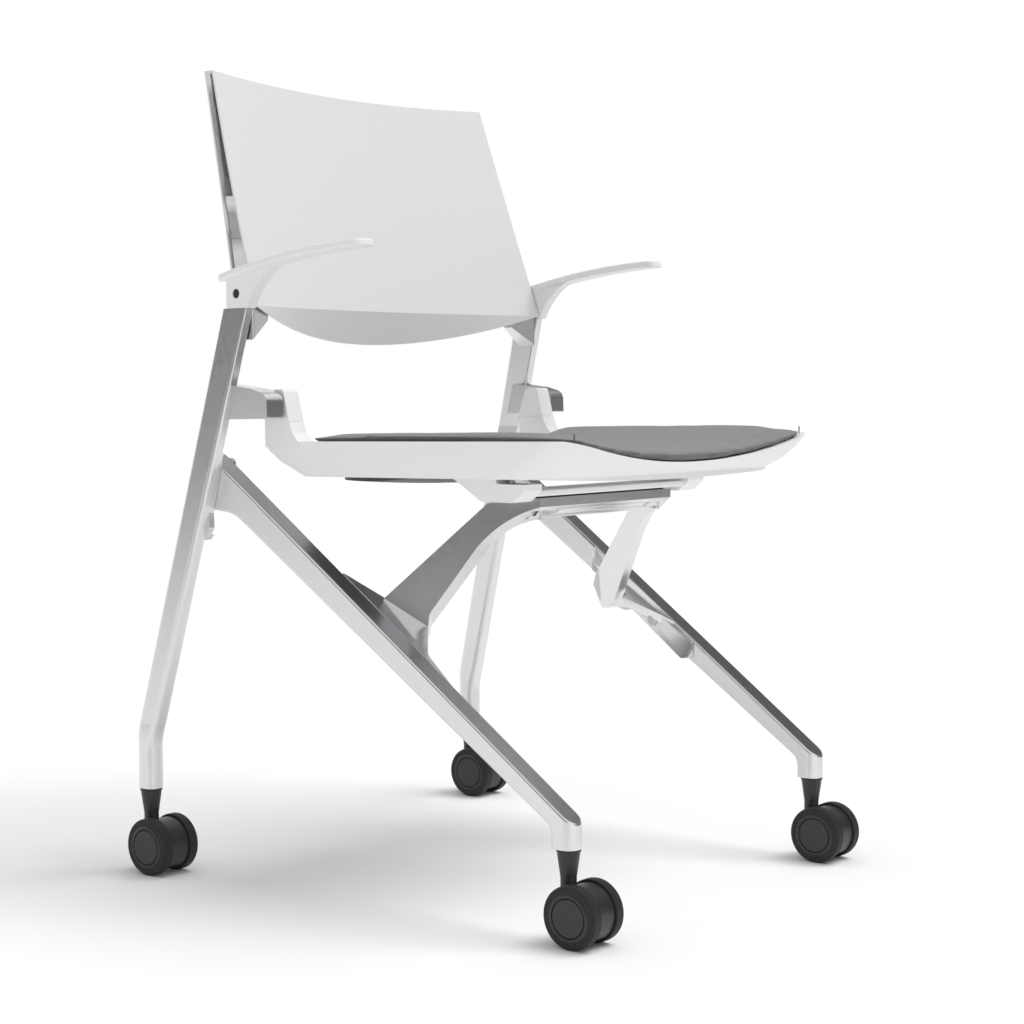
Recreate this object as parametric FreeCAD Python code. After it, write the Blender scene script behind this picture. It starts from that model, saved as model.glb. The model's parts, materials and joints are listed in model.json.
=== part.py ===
import FreeCAD, Part
import math
import os

# Nesting chair with a tip-up seat, cast legs and four twin-wheel casters.
# Millimetres, Z up, the front of the chair along -Y, the sitter's right along -X.
# Every shape is drawn with y = 0 midway between the front and rear caster stems, and is
# moved at the end so that the origin is under the middle of the bounding box, on the floor.

# Fits between pieces
running_fit = 0.05
snug_fit = 0.02
face_gap = 0.3
seam_gap = 0.2

# Casters
wheel_diameter = 60.0
wheel_width = 12.0
wheel_rounding = 3.0
wheel_hub_diameter = 22.0
wheel_rim_thickness = 5.0
wheel_inside_depth = 5.0
wheel_side_gap = 0.7
wheel_cap_diameter = 45.0
wheel_cap_recess = 1.6
wheel_cap_stand_out = 0.6
caster_hub_width = 22.6
caster_hub_radius = 27.5
caster_hub_floor_gap = 9.0
caster_trail = 17.4
caster_neck_top_diameter = 23.0
caster_neck_bottom_diameter = 15.5
caster_neck_top_z = 88.5
caster_neck_bottom_z = 62.0
axle_diameter = 8.0
stem_diameter = 11.0
stem_in_neck = 24.0
stem_in_leg = 36.0
stem_groove_width = 3.0
stem_groove_depth = 0.8

# Where the casters stand
front_stem_x = 222.0
front_stem_y = -261.5
rear_stem_x = 267.0
rear_stem_y = 261.5
leg_end_diameter = 24.0

# Rear uprights
upright_top_z = 596.0
upright_top_x = 243.0
upright_top_y = 148.0
upright_top_width = 12.0
upright_top_depth = 34.0
upright_top_corner = 2.5
upright_bend_z = 158.0
upright_bend_drop = 26.0
upright_bend_width = 20.0
upright_bend_depth = 27.5
upright_bend_corner = 7.0
upright_end_width = 22.0
upright_end_corner = 9.0
spigot_height = 26.0
spigot_width = 8.0
spigot_depth = 15.0

# Front legs
leg_joint_x = 231.5
leg_joint_z = 441.5
leg_nose_z = 113.0
leg_height_rear = 38.0
leg_height_front = 21.0
leg_edge_radius = 2.5
leg_knee_radius = 22.0
leg_flat_run = 28.0
leg_flat_rise = 4.0
joint_pad_drop = 86.0
joint_bump_drop = 74.0
joint_bump_top_drop = 57.0
joint_bump_reach = 5.0
leg_bolt_diameter = 8.0
leg_bolt_head_diameter = 12.5
leg_bolt_head_height = 5.0
leg_bolt_spacing = 20.0
leg_bolt_depth = 12.0

# Seat pivot, lugs and ears
pivot_y = 116.0
pivot_z = 494.0
pivot_pin_diameter = 10.0
pivot_bush_wall = 2.0
pivot_flange_diameter = 18.0
lug_inner_x = 226.0
lug_outer_x = 250.0
lug_front_reach = 15.5
lug_height_above = 19.0
lug_height_below = 10.5
lug_rear_inset = 8.0
lug_corner = 11.0
ear_outer_x = 223.0
ear_thickness = 21.0
ear_rear_reach = 15.0
ear_front_reach = 20.0
ear_height_above = 19.0
ear_cap_line_below = 14.5
ear_cap_wall = 3.0
pin_wall = 4.0

# Seat
seat_tilt = 1.05
seat_rim_z = 459.5
seat_front_y = -264.0
seat_front_corner = 34.0
seat_rear_y = 84.0
seat_dish = 25.0
seat_side_height = 36.0
seat_side_inset = 9.0
seat_belly_front_inset = 26.0
seat_belly_corner = 80.0
seat_belly_sag = 6.0
seat_rear_chamfer_y = 48.0
seat_rear_step_y = 18.0
seat_rear_step_drop = 20.5
seat_rear_edge = 6.0
seat_middle_drop = 16.5
seat_middle_inset = 3.2
seat_middle_front_inset = 6.0
seat_middle_corner = 52.0
seat_wall = 7.0
seat_skin = 3.5
pad_half_width = 216.0
pad_front_inset = 2.0
pad_rear_y = 70.0
pad_corner = 31.5
pad_thickness = 10.0
pad_crown = 1.5
pad_edge_radius = 4.0
board_thickness = 5.0
board_edge_inset = 11.0
board_front_inset = 36.0
board_corner = 75.0
board_rear_corner = 12.0
board_rear_inset = 4.0
boss_diameter = 16.0
boss_x = 145.0
boss_rear_y = 30.0
panel_half_width = 172.0
panel_front_y = -55.0
panel_rear_y = 90.0
panel_depth = 7.0
seat_screw_diameter = 5.0
seat_screw_head_diameter = 9.0
seat_screw_head_height = 3.0

# Seat carrier under the shell
carrier_cheek_x = 145.0
carrier_cheek_width = 30.0
carrier_rear_y = -66.0
carrier_front_y = -159.0
carrier_web_height = 6.0
carrier_web_front_y = -153.0
carrier_web_rear_y = -108.0

# Bridge between the front legs
beam_front_y = -145.5
beam_half_length = 115.5
beam_top_z = 405.5
beam_face_height = 9.0
beam_bevel_drop = 12.5
beam_bevel_run = 15.5
beam_depth = 34.0
beam_corner_drop = 5.5
beam_corner_back = 53.0
arm_root_x = 193.0
arm_root_y = -8.0
arm_plate_thickness = 14.0
arm_root_width = 44.0
foot_inner_x = 204.0
foot_rear_y = 30.0
foot_front_y = -112.0
foot_top_inset = 2.5
foot_height = 26.0
foot_flare_thickness = 9.0
foot_web_depth = 13.0
foot_bolt_rear_y = 17.5
foot_bolt_front_y = -62.0
foot_bolt_diameter = 8.0
foot_bolt_head_diameter = 12.0
foot_bolt_head_height = 3.0
foot_bolt_depth = 10.0
beam_screw_outer_x = 112.0
beam_screw_inner_x = 80.0
beam_screw_diameter = 5.0
beam_screw_head_diameter = 9.0
beam_screw_head_height = 2.4
beam_screw_length = 12.0
beam_screw_sink = 0.3
strip_thickness = 2.0
strip_half_length = 112.0
strip_depth = 22.0

# Back shells
back_top_z = 846.0
back_top_half_width = 220.0
back_top_edge_y = 206.5
back_top_dip = 5.0
back_top_hollow = 25.0
back_waist_z = 694.0
back_waist_half_width = 231.3
back_waist_edge_y = 159.3
back_waist_hollow = 37.0
back_crease_z = 599.0
back_crease_half_width = 236.5
back_crease_edge_y = 127.5
back_crease_hollow = 43.0
back_lip_z = 562.0
back_lip_setback = 16.0
back_skin = 2.3
back_rear_top_gap = 12.8
back_rear_waist_gap = 21.0
back_rear_crease_gap = 31.0
back_rear_edge_depth = 7.0
back_flank_top_z = 713.0
back_rear_low_z = 578.0
back_rear_low_rise = 29.4
back_rear_low_lean = 20.0
back_cap_height = 3.0
back_cap_gap = 0.6

# Back brackets
bracket_blade_top_z = 734.0
bracket_blade_top_thickness = 4.5
bracket_blade_foot_thickness = 12.0
bracket_inner_x = 204.0
bracket_low_z = 566.0
bracket_depth = 26.0
bracket_screw_diameter = 5.0
bracket_screw_depth = 8.0
bracket_screw_rise = 9.0
bracket_screw_drop = 12.0
bracket_screw_rear = 6.0
bracket_screw_front = 2.0
bracket_screw_length = 15.5
back_screw_diameter = 4.0
back_screw_head_diameter = 8.0
back_screw_head_height = 2.0
back_screw_seat = 1.0
back_screw_length = 15.0
back_screw_low_z = 640.0
back_screw_high_z = 705.0

# Arms
armrest_inner_x = 234.5
armrest_width = 27.5
armrest_front_y = -37.0
armrest_front_z = 660.0
armrest_middle_y = 62.0
armrest_middle_z = 650.5
armrest_rear_y = 160.0
armrest_rear_z = 629.6
armrest_thickness = 7.5
armrest_front_corner = 10.0
armrest_edge_radius = 2.0
arm_bracket_width = 13.0
arm_bracket_front_y = 128.0
arm_bracket_rear_y = 158.0
arm_screw_y = 144.0
arm_screw_z = 611.0
arm_screw_diameter = 5.0
arm_screw_head_diameter = 9.0
arm_screw_recess = 3.0

# Derived sizes
wheel_radius = wheel_diameter / 2.0
leg_end_radius = leg_end_diameter / 2.0
leg_end_z = caster_neck_top_z + face_gap
leg_nose_y = front_stem_y - leg_end_radius
upright_slope = (rear_stem_y - upright_top_y) / (upright_top_z - upright_bend_z + upright_bend_drop / 2.0)
upright_lean = (rear_stem_x - upright_top_x) / (upright_top_z - upright_bend_z + upright_bend_drop / 2.0)
seat_belly_z = seat_rim_z - seat_side_height
pin_radius = pivot_pin_diameter / 2.0
bush_radius = pin_radius + running_fit + pivot_bush_wall
trough_radius = (pad_half_width ** 2 + seat_dish ** 2) / (2.0 * seat_dish)
trough_axis_z = seat_rim_z - seat_dish + trough_radius
belly_half_width = ear_outer_x - seat_side_inset
belly_radius = (belly_half_width ** 2 + seat_belly_sag ** 2) / (2.0 * seat_belly_sag)
belly_axis_z = seat_belly_z - seat_belly_sag + belly_radius
strip_top_z = beam_top_z + strip_thickness
carrier_web_z = strip_top_z + face_gap
rear_limit_y = rear_stem_y + leg_end_radius
front_limit_y = front_stem_y - caster_trail - wheel_radius
centre_shift = -(rear_limit_y + front_limit_y) / 2.0

AXIS_X = FreeCAD.Vector(1, 0, 0)
AXIS_Y = FreeCAD.Vector(0, 1, 0)
AXIS_Z = FreeCAD.Vector(0, 0, 1)
ORIGIN = FreeCAD.Vector(0, 0, 0)


def on_x(x):
    """Map (y, z) pairs to the plane at this x."""
    return lambda u, v: FreeCAD.Vector(x, u, v)


def on_y(y):
    """Map (x, z) pairs to the plane at this y."""
    return lambda u, v: FreeCAD.Vector(u, y, v)


def on_z(z):
    """Map (x, y) pairs to the plane at this z."""
    return lambda u, v: FreeCAD.Vector(u, v, z)


def corner_arc(before, corner, after, radius):
    """Return the start, middle and end of the arc that rounds a corner."""
    first = ((before[0] - corner[0]), (before[1] - corner[1]))
    second = ((after[0] - corner[0]), (after[1] - corner[1]))
    first_length = math.hypot(*first)
    second_length = math.hypot(*second)
    first = (first[0] / first_length, first[1] / first_length)
    second = (second[0] / second_length, second[1] / second_length)
    half = math.acos(first[0] * second[0] + first[1] * second[1]) / 2.0
    reach = radius / math.tan(half)
    bisector = (first[0] + second[0], first[1] + second[1])
    size = math.hypot(*bisector)
    middle = radius / math.sin(half) - radius
    return (
        (corner[0] + first[0] * reach, corner[1] + first[1] * reach),
        (corner[0] + bisector[0] / size * middle, corner[1] + bisector[1] / size * middle),
        (corner[0] + second[0] * reach, corner[1] + second[1] * reach),
    )


def outline(points, place):
    """Closed wire through (u, v) or (u, v, radius) corners, each radius as an arc."""
    runs = []
    count = len(points)
    for index, point in enumerate(points):
        if len(point) == 2:
            runs.append((point, None, point))
        else:
            before = points[index - 1]
            after = points[(index + 1) % count]
            runs.append(corner_arc(before, point, after, point[2]))
    edges = []
    for index, (start, middle, end) in enumerate(runs):
        if middle is not None:
            edges.append(Part.Arc(place(*start), place(*middle), place(*end)).toShape())
        following = runs[(index + 1) % count][0]
        if math.hypot(following[0] - end[0], following[1] - end[1]) > 1e-6:
            edges.append(Part.LineSegment(place(*end), place(*following)).toShape())
    return Part.Wire(edges)


def plate(points, place, direction):
    """Solid made by pushing an outline along a direction."""
    return Part.Face(outline(points, place)).extrude(direction)


def plate_x(points, x_low, x_high):
    """Solid with a (y, z) outline between two x values."""
    return plate(points, on_x(x_low), AXIS_X * (x_high - x_low))


def plate_y(points, y_low, y_high):
    """Solid with an (x, z) outline between two y values."""
    return plate(points, on_y(y_low), AXIS_Y * (y_high - y_low))


def plate_z(points, z_low, z_high):
    """Solid with an (x, y) outline between two z values."""
    return plate(points, on_z(z_low), AXIS_Z * (z_high - z_low))


def rod_x(radius, x_low, x_high, y, z):
    """Cylinder along X between two x values."""
    return Part.makeCylinder(radius, x_high - x_low, FreeCAD.Vector(x_low, y, z), AXIS_X)


def rod_z(radius, z_low, z_high, x, y):
    """Cylinder along Z between two z values."""
    return Part.makeCylinder(radius, z_high - z_low, FreeCAD.Vector(x, y, z_low), AXIS_Z)


def fused(shapes):
    """One solid from overlapping shapes."""
    whole = shapes[0].fuse(shapes[1:]) if len(shapes) > 1 else shapes[0]
    return whole.removeSplitter()


def mirrored(shape):
    """The same shape on the other side of the chair."""
    return shape.mirror(ORIGIN, AXIS_X)


def rounded_box(width, depth, corner, x, y, z):
    """Horizontal wire with rounded corners about a centre."""
    a = width / 2.0
    b = depth / 2.0
    corners = [(x - a, y - b, corner), (x + a, y - b, corner), (x + a, y + b, corner), (x - a, y + b, corner)]
    return outline(corners, on_z(z))


def upright_y(z):
    """Middle of the upright's depth at a height above its bend."""
    return upright_top_y + (upright_top_z - z) * upright_slope


def upright_x(z):
    """Middle of the upright's width at a height above its bend, as a positive distance."""
    return upright_top_x + (upright_top_z - z) * upright_lean


def upright_share(z):
    """How far down the straight part of the upright a height is, from 0 to 1."""
    return (upright_top_z - z) / (upright_top_z - upright_bend_z)


def upright_width(z):
    """Width of the upright along X at a height above its bend."""
    return upright_top_width + (upright_bend_width - upright_top_width) * upright_share(z)


def upright_depth(z):
    """Depth of the upright along Y at a height above its bend."""
    return upright_top_depth + (upright_bend_depth - upright_top_depth) * upright_share(z)


def leg_slope():
    """Rise of the front leg's top face per millimetre towards the back."""
    return (leg_joint_z - leg_nose_z) / (upright_y(leg_joint_z) - leg_nose_y)


def leg_top(y):
    """Height of the front leg's top face at a place along the chair."""
    return leg_nose_z + leg_slope() * (y - leg_nose_y)


def leg_height(y):
    """Upright height of the front leg's side at a place along the chair."""
    share = (y - leg_nose_y) / (upright_y(leg_joint_z) - leg_nose_y)
    return leg_height_front + (leg_height_rear - leg_height_front) * share


def splayed(shape):
    """Turn a piece drawn along Y from the front stem to the right leg's slight splay."""
    result = shape.copy()
    reach = upright_y(leg_joint_z) - front_stem_y
    angle = math.degrees(math.atan2(leg_joint_x - front_stem_x, reach))
    result.rotate(FreeCAD.Vector(-front_stem_x, front_stem_y, 0), AXIS_Z, angle)
    return result


def leg_face_x(outward):
    """Outer or inner side plane of the right front leg before it is splayed."""
    return -front_stem_x - outward * leg_end_radius


def leg_inner_x(y):
    """Inner face of the right front leg at a place along the chair."""
    slope = (leg_joint_x - front_stem_x) / (upright_y(leg_joint_z) - front_stem_y)
    return leg_face_x(-1.0) - slope * (y - front_stem_y)


def make_upright():
    """Right rear upright: leaning bar, bend, joint pad, hinge lug and arm spigot."""
    top = rounded_box(upright_top_width, upright_top_depth, upright_top_corner,
                      -upright_top_x, upright_top_y, upright_top_z)
    bend = rounded_box(upright_bend_width, upright_bend_depth, upright_bend_corner,
                       -upright_x(upright_bend_z), upright_y(upright_bend_z), upright_bend_z)
    straight = Part.makeLoft([top, bend], True, True)
    knee_z = upright_bend_z - upright_bend_drop
    middle_z = (upright_bend_z + knee_z) / 2.0
    middle_x = (upright_x(middle_z) * 0.45 + rear_stem_x * 0.55)
    middle_y = (upright_y(middle_z) * 0.45 + rear_stem_y * 0.55)
    middle = rounded_box((upright_bend_width + upright_end_width) / 2.0,
                         (upright_bend_depth + leg_end_diameter) / 2.0,
                         (upright_bend_corner + upright_end_corner) / 2.0,
                         -middle_x, middle_y - 0.6, middle_z)
    knee = rounded_box(upright_end_width, leg_end_diameter, upright_end_corner,
                       -rear_stem_x, rear_stem_y, knee_z)
    end = rounded_box(upright_end_width, leg_end_diameter, upright_end_corner,
                      -rear_stem_x, rear_stem_y, leg_end_z)
    bent = Part.makeLoft([bend, middle, knee], True, False)
    foot = Part.makeLoft([knee, end], True, True)
    parts = [straight, bent, foot, upright_joint_pad(), upright_lug(), upright_spigot()]
    body = fused(parts).cut(leg_room())
    body = body.cut(rod_z(stem_diameter / 2.0 + snug_fit, leg_end_z - 1.0, stem_top_z() + 2.0,
                          -rear_stem_x, rear_stem_y))
    body = body.cut(pivot_bore(pin_radius + snug_fit, -pin_outer_x(), -lug_inner_x + 1.0))
    for y, z in leg_bolt_places():
        body = body.cut(splayed(rod_x(leg_bolt_diameter / 2.0 + snug_fit, leg_face_x(1.0) - leg_bolt_depth,
                                      leg_face_x(1.0) + 1.0, y, z)))
    for y, z in bracket_screw_places():
        body = body.cut(rod_x(bracket_screw_diameter / 2.0 + snug_fit,
                              -bracket_wall_x() - bracket_screw_depth, -bracket_wall_x() + 4.0, y, z))
    body = body.cut(rod_x(arm_screw_diameter / 2.0 + snug_fit, -upright_top_x - spigot_width,
                          -upright_top_x + spigot_width, arm_screw_y, arm_screw_z))
    return body


def upright_joint_pad():
    """Flat pad on the upright's inner side that the front leg bolts against."""
    low = leg_joint_z - joint_pad_drop
    high = leg_joint_z + 6.0
    bump = leg_joint_z - joint_bump_drop
    bump_top = leg_joint_z - joint_bump_top_drop
    inset = 1.5
    corners = [
        (upright_y(bump_top) - upright_depth(bump_top) / 2.0, bump_top),
        (upright_y(bump) - upright_depth(bump) / 2.0 - joint_bump_reach, bump, 4.0),
        (upright_y(low) - upright_depth(low) / 2.0 + inset, low),
        (upright_y(low) + upright_depth(low) / 2.0 - inset, low),
        (upright_y(high) + upright_depth(high) / 2.0 - inset, high),
        (upright_y(high) - upright_depth(high) / 2.0 + inset, high),
    ]
    return plate_x(corners, -upright_x(leg_joint_z), -upright_x(leg_joint_z) + upright_top_width)


def leg_room():
    """Space of the right front leg beside the upright, with a seam."""
    rear = upright_y(leg_joint_z) + 40.0
    front = upright_y(leg_joint_z) - 80.0
    low = leg_joint_z - 80.0
    high = leg_joint_z + 25.0
    return splayed(plate_x([(front, low), (rear, low), (rear, high), (front, high)],
                           leg_face_x(1.0) - seam_gap, leg_face_x(-1.0)))


def upright_lug():
    """Hinge lug on the front of the upright, drawn about the pivot."""
    high = pivot_z + lug_height_above + 5.0
    low = pivot_z - lug_height_below - 1.5
    corners = [
        (upright_y(high) - lug_rear_inset, high),
        (pivot_y + 8.0, pivot_z + lug_height_above + 1.0),
        (pivot_y - lug_front_reach + 1.0, pivot_z + lug_height_above - 5.0, lug_corner),
        (pivot_y - lug_front_reach, pivot_z - lug_height_below, 2.0),
        (upright_y(low) - lug_rear_inset, low),
    ]
    return plate_x(corners, -lug_outer_x, -lug_inner_x)


def upright_spigot():
    """Tongue on the upright's top that carries the arm."""
    low = upright_top_z - 2.0
    high = upright_top_z + spigot_height
    half = spigot_depth / 2.0
    corners = [(arm_screw_y - half, low), (arm_screw_y + half, low),
               (arm_screw_y + half, high, 3.0), (arm_screw_y - half, high, 3.0)]
    return plate_x(corners, -upright_top_x - spigot_width / 2.0, -upright_top_x + spigot_width / 2.0)


def stem_top_z():
    """Upper end of the caster stems."""
    return leg_end_z + stem_in_leg


def pin_outer_x():
    """Outer end of the pivot pin, inside the lug, as a positive distance."""
    return lug_outer_x - pin_wall


def pin_inner_x():
    """Inner end of the pivot pin, inside the ear, as a positive distance."""
    return ear_outer_x - ear_thickness + ear_cap_wall + face_gap + 1.0


def pivot_bore(radius, x_low, x_high):
    """Cylinder on the seat's pivot axis."""
    return rod_x(radius, x_low, x_high, pivot_y, pivot_z)


def leg_side():
    """Side outline of the front leg with its tongue beside the upright."""
    tongue_top = upright_y(leg_joint_z) + 10.0
    tongue_low = tongue_top + 8.0
    knee_y = front_stem_y + leg_end_radius
    low_front = leg_top(knee_y) - leg_height_front
    flat_y = upright_y(leg_joint_z) - leg_flat_run
    flat_z = leg_top(flat_y) - leg_height(flat_y)
    return [
        (leg_nose_y - 1.0, leg_end_z),
        (knee_y, leg_end_z),
        (knee_y, low_front, leg_knee_radius * 0.6),
        (flat_y, flat_z, leg_flat_run * 1.5),
        (tongue_low, flat_z + leg_flat_rise, 5.0),
        (tongue_top, leg_top(tongue_top), 5.0),
        (leg_nose_y - 1.0, leg_top(leg_nose_y - 1.0)),
    ]


def make_front_leg():
    """Right front leg: tapered side view cut to a narrow bar with a round nose."""
    side = plate_x(leg_side(), leg_face_x(1.0), leg_face_x(-1.0))
    low = leg_end_z - 5.0
    high = leg_joint_z + 60.0
    rear = upright_y(leg_joint_z) + 60.0
    bar = plate_z([(leg_face_x(1.0), front_stem_y), (leg_face_x(1.0), rear),
                   (leg_face_x(-1.0), rear), (leg_face_x(-1.0), front_stem_y)], low, high)
    nose = rod_z(leg_end_radius, low, high, -front_stem_x, front_stem_y)
    leg = rounded_leg(side.common(bar.fuse(nose).removeSplitter()).removeSplitter())
    leg = leg.cut(rod_z(stem_diameter / 2.0 + snug_fit, leg_end_z - 1.0, stem_top_z() + 0.5,
                        -front_stem_x, front_stem_y))
    for y, z in leg_bolt_places():
        leg = leg.cut(rod_x(leg_bolt_diameter / 2.0 + running_fit, leg_face_x(1.0) - 1.0,
                            leg_face_x(-1.0) + 1.0, y, z))
    leg = splayed(leg)
    for y, z in foot_bolt_places():
        leg = leg.cut(rod_x(foot_bolt_diameter / 2.0 + snug_fit, leg_inner_x(y) - foot_bolt_depth,
                            leg_inner_x(y) + 1.0, y, z))
    return leg


def rounded_leg(leg):
    """Round the edges along the front leg's top and underside."""
    chosen = []
    for edge in leg.Edges:
        box = edge.BoundBox
        flat_side = box.XLength < 0.01 and box.YLength > 200.0
        nose = box.XLength > leg_end_radius and box.ZLength > 5.0
        if flat_side or nose:
            chosen.append(edge)
    return leg.makeFillet(leg_edge_radius, chosen)


def leg_bolt_places():
    """Centres of the two bolts between front leg and upright, as (y, z)."""
    middle_z = leg_joint_z - leg_height_rear / 2.0 + 2.0
    step = leg_bolt_spacing / 2.0
    return [(upright_y(middle_z + step), middle_z + step), (upright_y(middle_z - step), middle_z - step)]


def make_leg_bolts():
    """Socket head bolts, two a side, that hold the front legs to the uprights."""
    bolts = []
    head_x = leg_face_x(-1.0)
    for y, z in leg_bolt_places():
        shank = rod_x(leg_bolt_diameter / 2.0, leg_face_x(1.0) - leg_bolt_depth + 0.5, head_x, y, z)
        head = rod_x(leg_bolt_head_diameter / 2.0, head_x, head_x + leg_bolt_head_height, y, z)
        bolt = hex_socket(fused([shank, head]), head_x + leg_bolt_head_height, y, z, 3.0)
        bolts.append(splayed(bolt))
    return both_sides(bolts)


def hex_socket(bolt, x_end, y, z, size):
    """Cut a hexagon socket into a bolt head that faces the middle of the chair."""
    corners = []
    for index in range(6):
        angle = math.radians(60.0 * index)
        corners.append((y + size * math.cos(angle), z + size * math.sin(angle)))
    return bolt.cut(plate_x(corners, x_end - 2.5, x_end + 1.0))


def both_sides(shapes):
    """A group of separate solids, each with its mirror image."""
    return Part.makeCompound(shapes + [mirrored(shape) for shape in shapes])


def arm_frame():
    """Plan direction and inward normal of the right bridge arm."""
    run_x = arm_root_x - beam_half_length
    run_y = beam_front_y - arm_root_y
    length = math.hypot(run_x, run_y)
    return (run_x / length, run_y / length), (-run_y / length, run_x / length), length


def arm_point(along, z, inward):
    """Point on the right bridge arm from its distance along, height and depth."""
    direction, normal, _ = arm_frame()
    return FreeCAD.Vector(-arm_root_x + direction[0] * along + normal[0] * inward,
                          arm_root_y + direction[1] * along + normal[1] * inward, z)


def arm_face(inward, drop):
    """Outline of the bridge arm on one of its two faces."""
    _, _, length = arm_frame()
    root_z = leg_top(arm_root_y)
    front_root_z = root_z - 20.0
    corner_z = beam_top_z - beam_corner_drop
    low_z = beam_top_z - beam_face_height
    points = [
        (-6.0, root_z - 4.0),
        (length - beam_corner_back, corner_z),
        (length, beam_top_z),
        (length, low_z - drop),
        (length * 0.57 + drop * 0.5, low_z - 46.5 - drop * 0.5),
        (arm_root_width + 2.0, front_root_z + 6.0 - drop),
        (arm_root_width - 2.0, root_z - 34.0),
        (12.0, root_z - 41.0),
        (-12.0, root_z - 16.0),
    ]
    knee = (length * 0.755 + drop * 0.4, low_z - 18.0 - drop * 0.5)
    places = [arm_point(along, z, inward) for along, z in points]
    edges = []
    for index, start in enumerate(places):
        end = places[(index + 1) % len(places)]
        if index == 3:
            edges.append(Part.Arc(start, arm_point(knee[0], knee[1], inward), end).toShape())
        else:
            edges.append(Part.LineSegment(start, end).toShape())
    return Part.Wire(edges)


def leg_band(y_low, y_high, top_inset, height, x_low, x_high, nose):
    """Bar that follows the slope of the front leg's top face."""
    corners = [
        (y_low, leg_top(y_low) - top_inset - height, nose),
        (y_high, leg_top(y_high) - top_inset - height),
        (y_high, leg_top(y_high) - top_inset),
        (y_low, leg_top(y_low) - top_inset, nose),
    ]
    if nose == 0.0:
        corners = [corner[:2] for corner in corners]
    return plate_x(corners, x_low, x_high)


def bridge_foot():
    """Plate on the leg's inner face with the flare that meets the bridge arm."""
    plate_bar = leg_band(foot_front_y, foot_rear_y, foot_top_inset, foot_height,
                         -foot_inner_x - 16.0, -foot_inner_x, foot_height * 0.3)
    start = arm_point(-8.0, 0.0, arm_plate_thickness)
    inner = arm_point(arm_root_width, 0.0, arm_plate_thickness)
    outer = arm_point(arm_root_width, 0.0, 0.0)
    flare = [
        (-foot_inner_x - 16.0, foot_rear_y),
        (-foot_inner_x, foot_rear_y - 6.0),
        (start.x, start.y),
        (inner.x, inner.y),
        (outer.x, outer.y),
        (-foot_inner_x, outer.y - 28.0),
        (-foot_inner_x - 16.0, outer.y - 46.0),
    ]
    low = leg_top(foot_front_y) - 60.0
    high = leg_top(foot_rear_y) + 20.0
    top_band = leg_band(foot_front_y, foot_rear_y + 2.0, 0.0, foot_flare_thickness, -leg_joint_x, 0.0, 0.0)
    flare_top = plate_z(flare, low, high).common(top_band)
    web = [
        (-foot_inner_x - 4.0, foot_rear_y - 8.0),
        (start.x, start.y),
        (inner.x, inner.y),
        (outer.x, outer.y),
        (-foot_inner_x - 4.0, outer.y - 2.0),
    ]
    deep_band = leg_band(foot_front_y, foot_rear_y, 0.0, foot_web_depth, -leg_joint_x, 0.0, 0.0)
    web_block = plate_z(web, low, high).common(deep_band)
    return [plate_bar, flare_top, web_block]


def leg_side_cutter():
    """Everything outboard of the right front leg's inner face, with a seam."""
    rear = foot_rear_y + 40.0
    front = foot_front_y - 40.0
    return splayed(plate_x([(front, 0.0), (rear, 0.0), (rear, beam_top_z), (front, beam_top_z)],
                           leg_face_x(1.0) - 20.0, leg_face_x(-1.0) + seam_gap))


def beam_section(x):
    """Outline of the cross-beam with its slanted lower front face."""
    low = beam_top_z - beam_face_height
    return outline([
        (beam_front_y, beam_top_z),
        (beam_front_y, low),
        (beam_front_y + beam_bevel_run, low - beam_bevel_drop),
        (beam_front_y + beam_depth, low - beam_bevel_drop),
        (beam_front_y + beam_depth, beam_top_z),
    ], on_x(x))


def make_bridge():
    """Cast arch: two feet, two slanted arms and the cross-beam."""
    arm = Part.makeLoft([arm_face(0.0, 0.0), arm_face(arm_plate_thickness, beam_bevel_drop)], True, True)
    side = fused([arm] + bridge_foot()).cut(leg_side_cutter())
    beam = Part.Face(beam_section(-beam_half_length)).extrude(AXIS_X * beam_half_length * 2.0)
    bridge = fused([side, beam, mirrored(side)])
    for y, z in foot_bolt_places():
        hole = rod_x(foot_bolt_diameter / 2.0 + running_fit, -foot_inner_x - 20.0, -foot_inner_x + 1.0, y, z)
        seat = rod_x(foot_bolt_head_diameter / 2.0 + 1.0, -foot_inner_x, -foot_inner_x + 12.0, y, z)
        bridge = bridge.cut([hole, seat, mirrored(hole), mirrored(seat)])
    for x in (beam_screw_inner_x, beam_screw_outer_x):
        screw = beam_screw_hole(x)
        bridge = bridge.cut([screw, mirrored(screw)])
    return bridge


def foot_bolt_places():
    """Centres of the foot bolts, as (y, z)."""
    drop = foot_top_inset + foot_height / 2.0
    return [(y, leg_top(y) - drop) for y in (foot_bolt_rear_y, foot_bolt_front_y)]


def make_foot_bolts():
    """Round-headed bolts, two a side, that hold the bridge to the front legs."""
    bolts = []
    for y, z in foot_bolt_places():
        shank = rod_x(foot_bolt_diameter / 2.0, leg_inner_x(y) - foot_bolt_depth + 0.5, -foot_inner_x, y, z)
        head = rod_x(foot_bolt_head_diameter / 2.0, -foot_inner_x,
                     -foot_inner_x + foot_bolt_head_height, y, z)
        rim = [edge for edge in head.Edges if abs(edge.BoundBox.XMin + foot_inner_x
                                                  - foot_bolt_head_height) < 1e-3]
        head = head.makeChamfer(foot_bolt_head_height * 0.4, rim[:1])
        bolts.append(fused([shank, head]))
    return both_sides(bolts)


def bevel_normal():
    """Outward direction of the beam's slanted face in the (y, z) plane."""
    length = math.hypot(beam_bevel_run, beam_bevel_drop)
    return FreeCAD.Vector(0, -beam_bevel_drop / length, -beam_bevel_run / length)


def bevel_middle(x):
    """Middle of the beam's slanted face at an x."""
    low = beam_top_z - beam_face_height
    return FreeCAD.Vector(x, beam_front_y + beam_bevel_run / 2.0, low - beam_bevel_drop / 2.0)


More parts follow.
